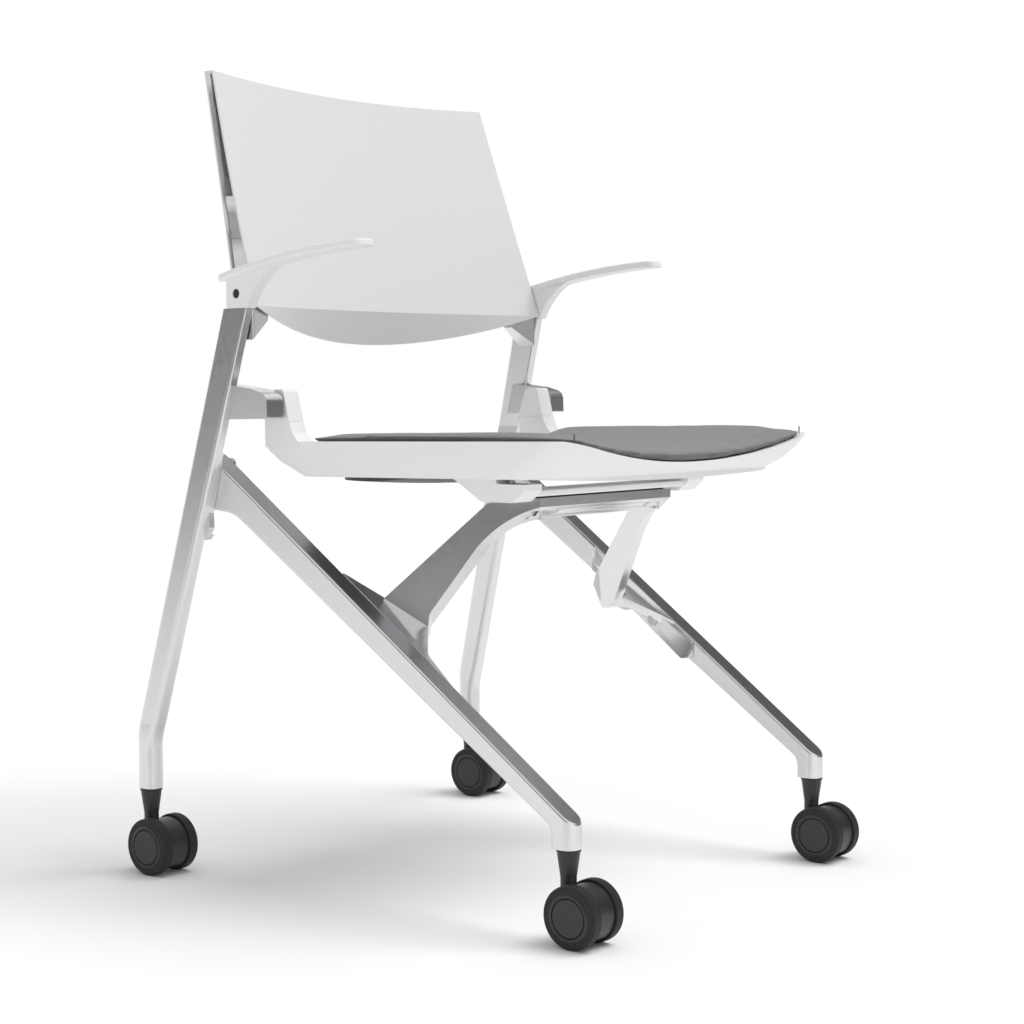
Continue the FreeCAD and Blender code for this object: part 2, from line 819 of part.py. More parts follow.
def beam_screw_shape(x, extra, length):
    """Countersunk screw form in the slanted face, pointing into the beam."""
    inward = bevel_normal() * -1.0
    base = bevel_middle(-x) + inward * beam_screw_sink
    head_radius = beam_screw_head_diameter / 2.0 + extra
    shank_radius = beam_screw_diameter / 2.0 + extra
    head = Part.makeCone(head_radius, shank_radius, beam_screw_head_height, base, inward)
    shank = Part.makeCylinder(shank_radius, length, base, inward)
    return fused([head, shank])


def beam_screw_hole(x):
    """Countersunk hole for one beam screw, open through the slanted face."""
    form = beam_screw_shape(x, snug_fit, beam_screw_length + 1.0)
    outward = bevel_normal()
    base = bevel_middle(-x) - outward * beam_screw_sink
    mouth = Part.makeCylinder(beam_screw_head_diameter / 2.0 + snug_fit, beam_screw_sink + 1.0, base, outward)
    return form.fuse(mouth)


def make_beam_screws():
    """Countersunk screws in the slanted face of the cross-beam."""
    return both_sides([beam_screw_shape(x, 0.0, beam_screw_length)
                       for x in (beam_screw_inner_x, beam_screw_outer_x)])


def make_rest_strip():
    """Rubber strip on the cross-beam that the lowered seat rests over."""
    middle = beam_front_y + beam_depth / 2.0
    half = strip_depth / 2.0
    corners = [
        (-strip_half_length, middle - half, 4.0),
        (strip_half_length, middle - half, 4.0),
        (strip_half_length, middle + half, 4.0),
        (-strip_half_length, middle + half, 4.0),
    ]
    return plate_z(corners, beam_top_z, strip_top_z)


def tilted(shape):
    """Turn a seat piece from level to its slope about the pivot."""
    result = shape.copy()
    result.rotate(FreeCAD.Vector(0, pivot_y, pivot_z), AXIS_X, -seat_tilt)
    return result


def seat_plan(half_width, rear, front, corner, rear_corner, z):
    """Seat outline with large front corners."""
    return outline([
        (-half_width, rear, rear_corner),
        (-half_width, front, corner),
        (half_width, front, corner),
        (half_width, rear, rear_corner),
    ], on_z(z))


def trough(radius, y_low, y_high):
    """Long cylinder over the seat that gives it its dish."""
    return Part.makeCylinder(radius, y_high - y_low, FreeCAD.Vector(0, y_low, trough_axis_z), AXIS_Y)


def belly(radius, y_low, y_high):
    """Long cylinder that gives the seat's underside its curve."""
    return Part.makeCylinder(radius, y_high - y_low, FreeCAD.Vector(0, y_low, belly_axis_z), AXIS_Y)


def ear_rear_y():
    """Rear edge of the seat's ears."""
    return pivot_y + ear_rear_reach


def seat_body():
    """Outside form of the seat shell without ears, before it is hollowed."""
    rear = ear_rear_y()
    rim = seat_plan(ear_outer_x, rear, seat_front_y, seat_front_corner, 5.0, seat_rim_z)
    middle = seat_plan(ear_outer_x - seat_middle_inset, rear, seat_front_y + seat_middle_front_inset,
                       seat_middle_corner, 5.0, seat_rim_z - seat_middle_drop)
    low = seat_plan(belly_half_width, rear, seat_front_y + seat_belly_front_inset,
                    seat_belly_corner, 5.0, seat_belly_z)
    flank = Part.makeLoft([rim, middle, low], True, False)
    keel = Part.Face(low).extrude(AXIS_Z * -(seat_belly_sag + 2.0))
    body = flank.fuse(keel).removeSplitter()
    return body.common(belly(belly_radius, seat_front_y - 50.0, rear + 50.0)).cut(seat_rear_wedge())


def seat_rear_wedge():
    """Room under the seat's rear edge, where its underside rises to the ears."""
    rear = ear_rear_y()
    step_z = seat_rim_z - seat_rear_step_drop
    slope = (step_z - seat_belly_z) / (seat_rear_chamfer_y - seat_rear_step_y)
    under = seat_belly_sag + 6.0
    start_y = rear - seat_rear_chamfer_y - under / slope
    half = ear_outer_x + 20.0
    return plate_x([
        (start_y, seat_belly_z - under),
        (rear - seat_rear_step_y, step_z),
        (rear, seat_rim_z - seat_rear_edge),
        (rear + 20.0, seat_rim_z - seat_rear_edge),
        (rear + 20.0, seat_belly_z - under),
    ], -half, half)


def seat_cavity():
    """Hollow of the seat shell under the board."""
    rim = seat_plan(ear_outer_x - seat_wall - 4.0, seat_rear_y - seat_wall, seat_front_y + seat_wall,
                    seat_front_corner - seat_wall, 6.0, seat_rim_z + 0.5)
    low = seat_plan(belly_half_width - seat_wall, seat_rear_y - seat_wall - 8.0,
                    seat_front_y + seat_belly_front_inset + seat_wall, seat_belly_corner - seat_wall,
                    6.0, seat_belly_z)
    upper = Part.makeLoft([rim, low], True, True)
    keel = Part.Face(low).extrude(AXIS_Z * -(seat_belly_sag + 2.0))
    hollow = upper.fuse(keel).removeSplitter()
    return hollow.common(belly(belly_radius - seat_skin, seat_front_y - 50.0, seat_rear_y + 50.0))


def ear_side(inset, low):
    """Side outline of an ear about the pivot, shrunk by an inset on its front and top."""
    top = pivot_z + ear_height_above - inset
    rear = ear_rear_y()
    front = pivot_y - ear_front_reach + inset
    return [
        (rear, low),
        (rear, pivot_z - 10.0, 12.0),
        (pivot_y + 5.0, top, 9.0),
        (front + 8.0, top, 4.0),
        (front, pivot_z - ear_cap_line_below),
        (front - 4.5, pivot_z - 26.0),
        (seat_rear_y + inset, seat_rim_z),
        (seat_rear_y + inset, low),
    ]


def seat_ear():
    """Right ear of the seat shell with the step that its cap covers."""
    low = seat_rim_z - seat_rear_edge
    inner = -(ear_outer_x - ear_thickness)
    whole = plate_x(ear_side(0.0, low), -ear_outer_x, inner)
    line_z = pivot_z - ear_cap_line_below
    upper = plate_x([(0.0, line_z), (300.0, line_z), (300.0, line_z + 80.0), (0.0, line_z + 80.0)],
                    -ear_outer_x - 1.0, inner + 1.0)
    base = whole.cut(upper)
    core = plate_x(ear_side(ear_cap_wall + face_gap, low), -ear_outer_x,
                   inner - ear_cap_wall - face_gap).common(upper)
    return fused([base, core])


def make_hinge_cap():
    """Right ear cap: moulded cover over the ear's front, top and inner side."""
    low = seat_rim_z - 12.0
    inner = -(ear_outer_x - ear_thickness)
    line_z = pivot_z - ear_cap_line_below + seam_gap
    upper = plate_x([(0.0, line_z), (300.0, line_z), (300.0, line_z + 80.0), (0.0, line_z + 80.0)],
                    -ear_outer_x - 1.0, inner + 1.0)
    whole = plate_x(ear_side(0.0, low), -ear_outer_x, inner).common(upper)
    core = plate_x(ear_side(ear_cap_wall, low), -ear_outer_x - 1.0, inner - ear_cap_wall)
    return tilted(whole.cut(core))


def boss_places():
    """Centres of the screw bosses inside the seat shell, as (x, y)."""
    front_y = (carrier_web_front_y + carrier_web_rear_y) / 2.0
    return [(sign * boss_x, y) for sign in (-1.0, 1.0) for y in (boss_rear_y, front_y)]


def make_seat_shell():
    """White seat pan: lofted body, hollow, dish, ears and screw bosses."""
    body = seat_body().cut(seat_cavity())
    rear = ear_rear_y()
    inner = ear_outer_x - ear_thickness
    notch = plate_z([(-inner, seat_rear_y), (inner, seat_rear_y),
                     (inner, rear + 20.0), (-inner, rear + 20.0)],
                    seat_belly_z - 30.0, seat_rim_z + 30.0)
    body = body.cut(notch)
    inside = belly(belly_radius - seat_skin / 2.0, seat_front_y, rear)
    bosses = []
    for x, y in boss_places():
        bosses.append(rod_z(boss_diameter / 2.0, seat_belly_z - 20.0, seat_rim_z, x, y).common(inside))
    body = fused([body] + bosses)
    ear = seat_ear()
    body = body.cut(trough(trough_radius, seat_front_y - 20.0, seat_rear_y))
    body = body.cut(board_blank(0.0))
    body = fused([body, ear, mirrored(ear)])
    bush_hole = pivot_bore(bush_radius + snug_fit, -ear_outer_x - 1.0, -bush_inner_x())
    pin_room = pivot_bore(pin_radius + 1.0, -bush_inner_x() - 1.0, -pin_inner_x() + 1.0)
    body = body.cut([bush_hole, pin_room, mirrored(bush_hole), mirrored(pin_room)])
    for x, y in boss_places():
        body = body.cut(rod_z(seat_screw_diameter / 2.0 + snug_fit, seat_belly_z - 20.0, seat_rim_z, x, y))
        if y == boss_rear_y:
            body = body.cut(rod_z(seat_screw_head_diameter / 2.0 + snug_fit, seat_belly_z - 20.0,
                                  belly_surface(x) + 0.5 + seat_screw_head_height, x, y))
    return tilted(body)


def belly_surface(x):
    """Height of the seat's underside at an x, before the tilt."""
    return belly_axis_z - math.sqrt(belly_radius ** 2 - x ** 2)


def trough_surface(x):
    """Height of the seat's dish at an x, before the tilt."""
    return trough_axis_z - math.sqrt(trough_radius ** 2 - x ** 2)


def bush_inner_x():
    """Inner end of the pivot bush, as a positive distance."""
    return pin_inner_x() + 3.0


def make_pivot_bush():
    """Right pivot bush with a flange between ear and lug."""
    outer = pivot_bore(bush_radius, -ear_outer_x, -bush_inner_x())
    flange = pivot_bore(pivot_flange_diameter / 2.0, -lug_inner_x + face_gap, -ear_outer_x)
    bore = pivot_bore(pin_radius + running_fit, -lug_inner_x, -bush_inner_x() + 1.0)
    return fused([outer, flange]).cut(bore)


def make_pivot_pin():
    """Right pivot pin, held in the lug and turning in the bush."""
    pin = pivot_bore(pin_radius, -pin_outer_x(), -pin_inner_x())
    return pin.makeChamfer(0.8, [edge for edge in pin.Edges if len(edge.Vertexes) == 1])


def board_blank(extra):
    """Curved seat board, or the room for it."""
    half = pad_half_width - board_edge_inset + extra
    rear = pad_rear_y - board_rear_inset + extra
    front = seat_front_y + board_front_inset - extra
    wire = seat_plan(half, rear, front, board_corner, board_rear_corner, seat_belly_z - board_corner)
    block = Part.Face(wire).extrude(AXIS_Z * (seat_side_height + board_corner * 2.0))
    lower = trough(trough_radius + board_thickness, seat_front_y, ear_rear_y())
    upper = trough(trough_radius, seat_front_y - board_front_inset, ear_rear_y() + board_front_inset)
    return block.common(lower).cut(upper)


def make_seat_board():
    """Curved plywood board under the cushion."""
    board = board_blank(-0.5)
    for x, y in boss_places():
        board = board.cut(rod_z(seat_screw_diameter / 2.0 + snug_fit, seat_belly_z - 20.0, seat_rim_z, x, y))
    return tilted(board)


def make_seat_pad():
    """Upholstered cushion: dished underside, crowned top and drawn-in edges."""
    front = seat_front_y + pad_front_inset
    wire = seat_plan(pad_half_width, pad_rear_y, front, pad_corner, 8.0, seat_rim_z - seat_dish - 10.0)
    block = Part.Face(wire).extrude(AXIS_Z * (seat_dish + pad_thickness + 40.0))
    under = trough(trough_radius - face_gap, seat_front_y - 30.0, pad_rear_y + 30.0)
    pad_middle = (pad_rear_y + front) / 2.0
    half = (pad_rear_y - front) / 2.0 + 10.0
    edge_radius = trough_radius - pad_thickness + face_gap
    bowed = [FreeCAD.Vector(-edge_radius, pad_middle - half, trough_axis_z),
             FreeCAD.Vector(pad_crown - edge_radius, pad_middle, trough_axis_z),
             FreeCAD.Vector(-edge_radius, pad_middle + half, trough_axis_z)]
    axis = [FreeCAD.Vector(0, pad_middle + half, trough_axis_z),
            FreeCAD.Vector(0, pad_middle - half, trough_axis_z)]
    profile = Part.Wire([
        Part.Arc(bowed[0], bowed[1], bowed[2]).toShape(),
        Part.LineSegment(bowed[2], axis[0]).toShape(),
        Part.LineSegment(axis[0], axis[1]).toShape(),
        Part.LineSegment(axis[1], bowed[0]).toShape(),
    ])
    crown = Part.Face(profile).revolve(axis[1], AXIS_Y, -180.0)
    pad = block.common(under).cut(crown)
    return tilted(soft_edges(pad, pad_edge_radius))


def soft_edges(pad, radius):
    """Round the rim of the cushion's top and, a little less, its underside."""
    broad = sorted(pad.Faces, key=lambda face: face.Area)[-2:]
    high = max(broad, key=lambda face: face.CenterOfMass.z)
    pad = pad.makeFillet(radius, high.OuterWire.Edges)
    broad = sorted(pad.Faces, key=lambda face: face.Area)[-2:]
    low = min(broad, key=lambda face: face.CenterOfMass.z)
    return pad.makeFillet(radius * 0.7, low.OuterWire.Edges)


def make_under_panel():
    """Dark bellied panel under the rear of the seat shell."""
    bow = 900.0
    corners = [
        (-panel_half_width, panel_front_y, 40.0),
        (panel_half_width, panel_front_y, 40.0),
        (panel_half_width, panel_rear_y - 12.0, 40.0),
        (-panel_half_width, panel_rear_y - 12.0, 40.0),
    ]
    block = plate_z(corners, seat_belly_z - 40.0, seat_belly_z + 6.0)
    lowest = seat_belly_z - seat_belly_sag - panel_depth
    middle = (panel_front_y + panel_rear_y) / 2.0
    across = Part.makeCylinder(bow, 2.0 * panel_half_width + 40.0,
                               FreeCAD.Vector(-panel_half_width - 20.0, middle, lowest + bow), AXIS_X)
    along = Part.makeCylinder(bow * 2.4, panel_rear_y - panel_front_y + 40.0,
                              FreeCAD.Vector(0, panel_front_y - 20.0, lowest + bow * 2.4), AXIS_Y)
    panel = block.common(across).common(along).cut(seat_body())
    return tilted(panel)


def carrier_side():
    """Side outline of a carrier cheek."""
    low = carrier_web_z - 5.0
    return [
        (carrier_rear_y, seat_rim_z),
        (carrier_rear_y, low + 24.0),
        (carrier_rear_y - 18.0, low + 13.5),
        (carrier_rear_y - 40.0, low, 9.0),
        (carrier_front_y + 14.0, low, 5.0),
        (carrier_front_y + 3.0, low + 8.0),
        (carrier_front_y, low + 12.0),
        (carrier_front_y, seat_rim_z),
    ]


def make_carrier():
    """White saddle under the shell: two cheeks joined by a low web."""
    half = carrier_cheek_width / 2.0
    cheek = plate_x(carrier_side(), -carrier_cheek_x - half, -carrier_cheek_x + half)
    reach = carrier_cheek_x - half + 1.0
    web = plate_x([
        (carrier_web_front_y, carrier_web_z, 2.0),
        (carrier_web_rear_y, carrier_web_z),
        (carrier_web_rear_y, carrier_web_z + carrier_web_height),
        (carrier_web_front_y, carrier_web_z + carrier_web_height, 2.0),
    ], -reach, reach)
    body = fused([cheek, web, mirrored(cheek)])
    body = body.cut(tilted(seat_body()))
    for x, y in boss_places():
        if y < boss_rear_y:
            body = body.cut(tilted(seat_screw_hole(x, y, carrier_web_z - 5.0)))
    body = body.cut([cheek_slot(), mirrored(cheek_slot())])
    solids = sorted(body.Solids, key=lambda solid: solid.Volume)
    return solids[-1]


def cheek_slot():
    """Slot between cheek and shell at the front of a cheek."""
    half = carrier_cheek_width / 2.0
    low = carrier_web_z + 13.0
    return plate_x([
        (carrier_front_y - 5.0, low),
        (carrier_front_y + 34.0, low, 2.5),
        (carrier_front_y + 34.0, low + 7.0, 2.5),
        (carrier_front_y - 5.0, low + 7.0),
    ], -carrier_cheek_x - half - 1.0, -carrier_cheek_x + half + 1.0)


def seat_screw_hole(x, y, head_z):
    """Room for a seat screw and its head from below."""
    shank = rod_z(seat_screw_diameter / 2.0 + snug_fit, head_z - 2.0, seat_rim_z, x, y)
    head = rod_z(seat_screw_head_diameter / 2.0 + snug_fit, head_z - 20.0, head_z + 4.0, x, y)
    return shank.fuse(head)


def make_seat_screws():
    """Screws from below through carrier or shell into the seat board."""
    screws = []
    for x, y in boss_places():
        head_low = belly_surface(x) + 0.5
        if y < boss_rear_y:
            head_low = carrier_web_z - 1.0 - seat_screw_head_height
        top = trough_surface(x) - 1.5
        head = rod_z(seat_screw_head_diameter / 2.0, head_low, head_low + seat_screw_head_height, x, y)
        shank = rod_z(seat_screw_diameter / 2.0, head_low + 1.0, top, x, y)
        screws.append(tilted(fused([head, shank])))
    return Part.makeCompound(screws)


def back_levels():
    """Driving levels of the back: height, half width, edge y, hollow and depth to the rear."""
    return [
        (back_top_z, back_top_half_width, back_top_edge_y, back_top_hollow, back_rear_top_gap),
        (back_waist_z, back_waist_half_width, back_waist_edge_y, back_waist_hollow, back_rear_waist_gap),
        (back_crease_z, back_crease_half_width, back_crease_edge_y, back_crease_hollow,
         back_rear_crease_gap),
    ]


def back_values(z):
    """Half width, edge y, hollow and rear depth at a height, along a parabola through the levels."""
    levels = back_levels()
    values = []
    for column in range(1, 5):
        total = 0.0
        for index, level in enumerate(levels):
            weight = 1.0
            for other, rival in enumerate(levels):
                if other != index:
                    weight *= (z - rival[0]) / (level[0] - rival[0])
            total += weight * level[column]
        values.append(total)
    return values


def hollow_section(half_width, edge_y, hollow, skin, z):
    """Closed wire of a curved wall: two arcs and two short ends."""
    left = FreeCAD.Vector(-half_width, edge_y, z)
    middle = FreeCAD.Vector(0, edge_y + hollow, z)
    right = FreeCAD.Vector(half_width, edge_y, z)
    back = AXIS_Y * skin
    return Part.Wire([
        Part.Arc(left, middle, right).toShape(),
        Part.LineSegment(right, right + back).toShape(),
        Part.Arc(right + back, middle + back, left + back).toShape(),
        Part.LineSegment(left + back, left).toShape(),
    ])


def back_wall(setback, skin, lip):
    """Curved wall of the back, front or rear, with its lower lip."""
    heights = [back_top_z + 12.0, back_top_z - 50.0, back_waist_z, back_waist_z - 48.0, back_crease_z]
    sections = []
    for z in heights:
        half_width, edge_y, hollow, depth = back_values(z)
        y = edge_y + (depth - skin) * setback
        sections.append(hollow_section(half_width, y, hollow, skin, z))
    upper = Part.makeLoft(sections, True, False)
    half_width, edge_y, hollow, depth = back_values(back_crease_z)
    y = edge_y + (depth - skin) * setback
    low = hollow_section(half_width, y + lip * 0.15, hollow + lip * 0.85, skin, back_lip_z - 3.0)
    lower = Part.makeLoft([sections[-1], low], True, True)
    return upper.fuse(lower)


def back_trim(low_z, low_rise):
    """Block whose top and bottom are the curved upper and lower edges of a back shell."""
    half = back_crease_half_width + 20.0
    reach = half / back_crease_half_width
    low_side = low_z + low_rise * reach * reach
    top_rise = half / back_top_half_width
    top_side = back_top_z - back_top_dip + back_top_dip * top_rise * top_rise
    near = back_crease_edge_y - 40.0
    left_low = FreeCAD.Vector(-half, near, low_side)
    right_low = FreeCAD.Vector(half, near, low_side)
    left_top = FreeCAD.Vector(-half, near, top_side)
    right_top = FreeCAD.Vector(half, near, top_side)
    face = Part.Face(Part.Wire([
        Part.Arc(left_low, FreeCAD.Vector(0, near, low_z), right_low).toShape(),
        Part.LineSegment(right_low, right_top).toShape(),
        Part.Arc(right_top, FreeCAD.Vector(0, near, back_top_z - back_top_dip), left_top).toShape(),
        Part.LineSegment(left_top, left_low).toShape(),
    ]))
    return face.extrude(AXIS_Y * 260.0)


def front_trim():
    """Trim block of the front shell."""
    return back_trim(back_lip_z, back_crease_z - back_lip_z)


def rear_trim():
    """Trim block of the rear shell, whose lower edge is higher."""
    return back_trim(back_rear_low_z, back_rear_low_rise)


def back_cap():
    """Turned-over top of the rear shell that closes the gap between the two shells."""
    sections = []
    for z in (back_top_z + 12.0, back_top_z - 50.0, back_waist_z):
        half_width, edge_y, hollow, depth = back_values(z)
        thickness = depth - back_skin * 1.5 - back_cap_gap
        sections.append(hollow_section(half_width, edge_y + back_skin + back_cap_gap, hollow, thickness, z))
    lowered = rear_trim()
    lowered.translate(FreeCAD.Vector(0, 0, -back_cap_height))
    return Part.makeLoft(sections, True, False).common(rear_trim()).cut(lowered)


def edge_strip(z, front_y, rear_y, thickness):
    """Horizontal outline of a side return at a height, on the right side."""
    half_width = back_values(z)[0]
    return outline([
        (-half_width, front_y),
        (-half_width + thickness, front_y + 0.5),
        (-half_width + thickness, rear_y),
        (-half_width, rear_y),
    ], on_z(z))


def front_flank():
    """Side return of the front shell on the right, below the slot."""
    sections = []
    for z in (back_flank_top_z, back_waist_z - 48.0, back_crease_z + 1.0):
        half_width, edge_y, hollow, depth = back_values(z)
        rear = edge_y + depth - back_rear_edge_depth * 0.5 - back_skin
        sections.append(edge_strip(z, edge_y + 0.5, rear, back_skin))
    return Part.makeLoft(sections, True, False)


def rear_edge():
    """Thick side edge of the rear shell on the right."""
    sections = []
    for z in (back_top_z - 4.0, back_top_z - 60.0, back_waist_z, back_waist_z - 48.0,
              back_rear_low_z + back_rear_low_rise):
        half_width, edge_y, hollow, depth = back_values(z)
        rear = edge_y + depth
        edge_depth = min(back_rear_edge_depth, depth - back_skin - 0.8)
        if z <= back_flank_top_z:
            edge_depth = back_rear_edge_depth * 0.5 + back_skin - 1.0
        sections.append(edge_strip(z, rear - edge_depth, rear - 0.4, back_skin))
    return Part.makeLoft(sections, True, False)


def make_back_front():
    """White front shell of the back with a turned-back lip and side returns."""
    flank = front_flank()
    wall = back_wall(0.0, back_skin, back_lip_setback).common(front_trim())
    shell = wall.fuse([flank, mirrored(flank)]).removeSplitter()
    return shell.Solids[0]


def make_back_rear():
    """White rear shell of the back with thick side edges."""
    edge = rear_edge()
    wall = back_wall(1.0, back_skin, -back_rear_low_lean).common(rear_trim())
    shell = wall.fuse([edge, mirrored(edge), back_cap()]).removeSplitter().Solids[0]
    for hole in back_screw_rods(back_screw_diameter / 2.0 + snug_fit, -2.0, 12.0):
        shell = shell.cut(hole)
    for seat in back_screw_rods(back_screw_head_diameter / 2.0 + snug_fit, -3.0, 3.0 + back_screw_seat):
        shell = shell.cut(seat)
    return shell


def blade_outer_x(z):
    """Outer edge of the bracket blade at a height, just inside the side of the back."""
    return back_values(z)[0] - back_skin - face_gap


def blade_middle(z):
    """Middle of the bracket blade's thickness at a height inside the back."""
    half_width, edge_y, hollow, depth = back_values(z)
    x = (bracket_inner_x + blade_outer_x(z)) / 2.0
    return edge_y + hollow * (1.0 - (x / half_width) ** 2) + depth / 2.0


def blade_section(z, thickness):
    """Horizontal outline of the bracket blade at a height."""
    y = blade_middle(z)
    outer = blade_outer_x(z)
    half = thickness / 2.0
    return outline([
        (-outer, y - half), (-bracket_inner_x, y - half), (-bracket_inner_x, y + half), (-outer, y + half),
    ], on_z(z))


def bracket_wall_x():
    """Inner face of the upright's top, as a positive distance."""
    return upright_top_x - upright_top_width / 2.0


def make_back_bracket():
    """Right corner bracket: gusset under the back, wall plate and blade inside the back."""
    blade = Part.makeLoft([
        blade_section(bracket_blade_top_z, bracket_blade_top_thickness),
        blade_section(back_waist_z - 48.0,
                      (bracket_blade_top_thickness + bracket_blade_foot_thickness) / 2.0),
        blade_section(back_crease_z, bracket_blade_foot_thickness),
    ], True, True)
    wall = bracket_wall_x() - seam_gap
    middle = blade_middle(back_crease_z)
    front = upright_top_y - upright_top_depth / 2.0 + 2.0
    gusset_side = [
        (-wall, back_crease_z),
        (-wall, bracket_low_z - 2.0),
        (-wall + 8.0, bracket_low_z + 3.0),
        (-bracket_inner_x - 6.0, bracket_low_z + 15.0),
        (-bracket_inner_x, bracket_low_z + 19.0),
        (-bracket_inner_x, back_crease_z),
    ]
    gusset_plan = [
        (-wall, front, 2.0),
        (-bracket_inner_x, front + 11.0),
        (-bracket_inner_x, middle + bracket_blade_foot_thickness / 2.0),
        (-wall, front + bracket_depth, 2.0),
    ]
    gusset = plate_y(gusset_side, front - 10.0, middle + 30.0)
    gusset = gusset.common(plate_z(gusset_plan, bracket_low_z - 20.0, back_crease_z + 20.0))
    rear = back_wall(1.0, back_skin + back_cap_gap, -back_rear_low_lean)
    shells = back_wall(0.0, back_skin + back_cap_gap, back_lip_setback).fuse(rear)
    lip_room = shells.common(back_room())
    body = fused([blade, gusset]).cut(lip_room)
    body = sorted(body.Solids, key=lambda solid: solid.Volume)[-1]
    for y, z in bracket_screw_places():
        body = body.cut(rod_x(bracket_screw_diameter / 2.0 + running_fit, -wall - 1.0, -wall + 12.0, y, z))
    for hole in back_screw_rods(back_screw_diameter / 2.0 + snug_fit, 0.0, back_screw_length + 1.0):
        body = body.cut(hole)
    return body


def back_room():
    """Back trim block, lowered a little so that the bracket clears the shells' lower edges."""
    room = front_trim()
    room.translate(FreeCAD.Vector(0, 0, -0.4))
    return room.fuse(front_trim())


def bracket_screw_places():
    """Centres of the screws between bracket and upright, as (y, z)."""
    low = bracket_low_z + bracket_screw_rise
    high = back_crease_z - bracket_screw_drop
    return [(upright_y(high) + bracket_screw_rear, high), (upright_y(low) - bracket_screw_front, low)]


def make_bracket_screws():
    """Cap screws, two a side, from the bracket into the upright's top."""
    screws = []
    wall = bracket_wall_x()
    for y, z in bracket_screw_places():
        start = -wall - bracket_screw_depth + 0.5
        shank = rod_x(bracket_screw_diameter / 2.0, start, start + bracket_screw_length, y, z)
        screws.append(shank)
    return both_sides(screws)


def back_screw_rods(radius, start, length):
    """Rods along Y, towards the front, from a place behind the back at each back screw."""
    rods = []
    for z in (back_screw_low_z, back_screw_high_z):
        half_width, edge_y, hollow, depth = back_values(z)
        x = (bracket_inner_x + blade_outer_x(z)) / 2.0
        rear = edge_y + depth + hollow * (1.0 - (x / half_width) ** 2)
        for sign in (-1.0, 1.0):
            rods.append(Part.makeCylinder(radius, length, FreeCAD.Vector(sign * x, rear - start, z),
                                          AXIS_Y * -1.0))
    return rods


def make_back_screws():
    """Screws from behind through the rear shell into the bracket blades."""
    shanks = back_screw_rods(back_screw_diameter / 2.0, 0.0, back_screw_length)
    heads = back_screw_rods(back_screw_head_diameter / 2.0, back_screw_seat - back_screw_head_height,
                            back_screw_head_height)
    return Part.makeCompound([fused([head, shank]) for head, shank in zip(heads, shanks)])


def armrest_curve(offset, x):
    """Arc along the arm at an offset below its top."""
    return [
        FreeCAD.Vector(x, armrest_front_y - 2.0, armrest_front_z - offset),
        FreeCAD.Vector(x, armrest_middle_y, armrest_middle_z - offset),
        FreeCAD.Vector(x, armrest_rear_y + 2.0, armrest_rear_z - offset),
    ]


def arm_band(x):
    """Side face of the arm between its upper and lower arcs."""
    top = armrest_curve(0.0, x)
    low = armrest_curve(armrest_thickness, x)
    return Part.Face(Part.Wire([
        Part.Arc(top[0], top[1], top[2]).toShape(),
        Part.LineSegment(top[2], low[2]).toShape(),
        Part.Arc(low[2], low[1], low[0]).toShape(),
        Part.LineSegment(low[0], top[0]).toShape(),
    ]))


def arm_bracket_block():
    """Web under the arm that sits over the upright's top."""
    x = -bracket_wall_x() - arm_bracket_width
    low = upright_top_z + seam_gap
    under = armrest_rear_z - armrest_thickness
    top_front = FreeCAD.Vector(x, arm_bracket_front_y - 50.0, armrest_middle_z - armrest_thickness - 1.0)
    face = Part.Face(Part.Wire([
        Part.LineSegment(FreeCAD.Vector(x, arm_bracket_rear_y, low),
                         FreeCAD.Vector(x, arm_bracket_front_y, low)).toShape(),
        Part.Arc(FreeCAD.Vector(x, arm_bracket_front_y, low),
                 FreeCAD.Vector(x, arm_bracket_front_y - 17.0, low + 25.0), top_front).toShape(),
        Part.LineSegment(top_front, FreeCAD.Vector(x, arm_bracket_rear_y, under + 3.0)).toShape(),
        Part.LineSegment(FreeCAD.Vector(x, arm_bracket_rear_y, under + 3.0),
                         FreeCAD.Vector(x, arm_bracket_rear_y, low)).toShape(),
    ]))
    return face.extrude(AXIS_X * arm_bracket_width)


def make_armrest():
    """Right arm: thin curved bar with rounded ends on a socketed bracket."""
    outer = -armrest_inner_x - armrest_width
    band = arm_band(outer).extrude(AXIS_X * armrest_width)
    plan = plate_z([
        (outer, armrest_front_y, armrest_front_corner),
        (-armrest_inner_x, armrest_front_y, armrest_front_corner),
        (-armrest_inner_x, armrest_rear_y, 5.0),
        (outer, armrest_rear_y, 5.0),
    ], armrest_rear_z - 40.0, armrest_front_z + 20.0)
    bar = band.common(plan)
    rims = []
    for face in bar.Faces:
        if face.Area > 3000.0 and abs(face.normalAt(0.5, 0.5).z) > 0.5:
            rims.extend(face.OuterWire.Edges)
    bar = bar.makeFillet(armrest_edge_radius, rims)
    arm = fused([bar.cut(back_side_room()), arm_bracket_block()])
    room = upright_spigot_room()
    arm = arm.cut(room)
    wall = -bracket_wall_x() - arm_bracket_width
    recess = rod_x(arm_screw_head_diameter / 2.0 + 0.5, wall - 1.0, wall + arm_screw_recess,
                   arm_screw_y, arm_screw_z)
    hole = rod_x(arm_screw_diameter / 2.0 + running_fit, wall, -upright_top_x, arm_screw_y, arm_screw_z)
    return arm.cut([recess, hole])


def back_side_room():
    """Room beside the right arm for the side of the back."""
    near = back_crease_edge_y - 2.0
    far = armrest_rear_y + armrest_width
    wall = bracket_wall_x()
    return plate_z([(-wall, near), (0.0, near), (0.0, far), (-wall, far)],
                   armrest_rear_z - armrest_width, armrest_front_z + armrest_width)


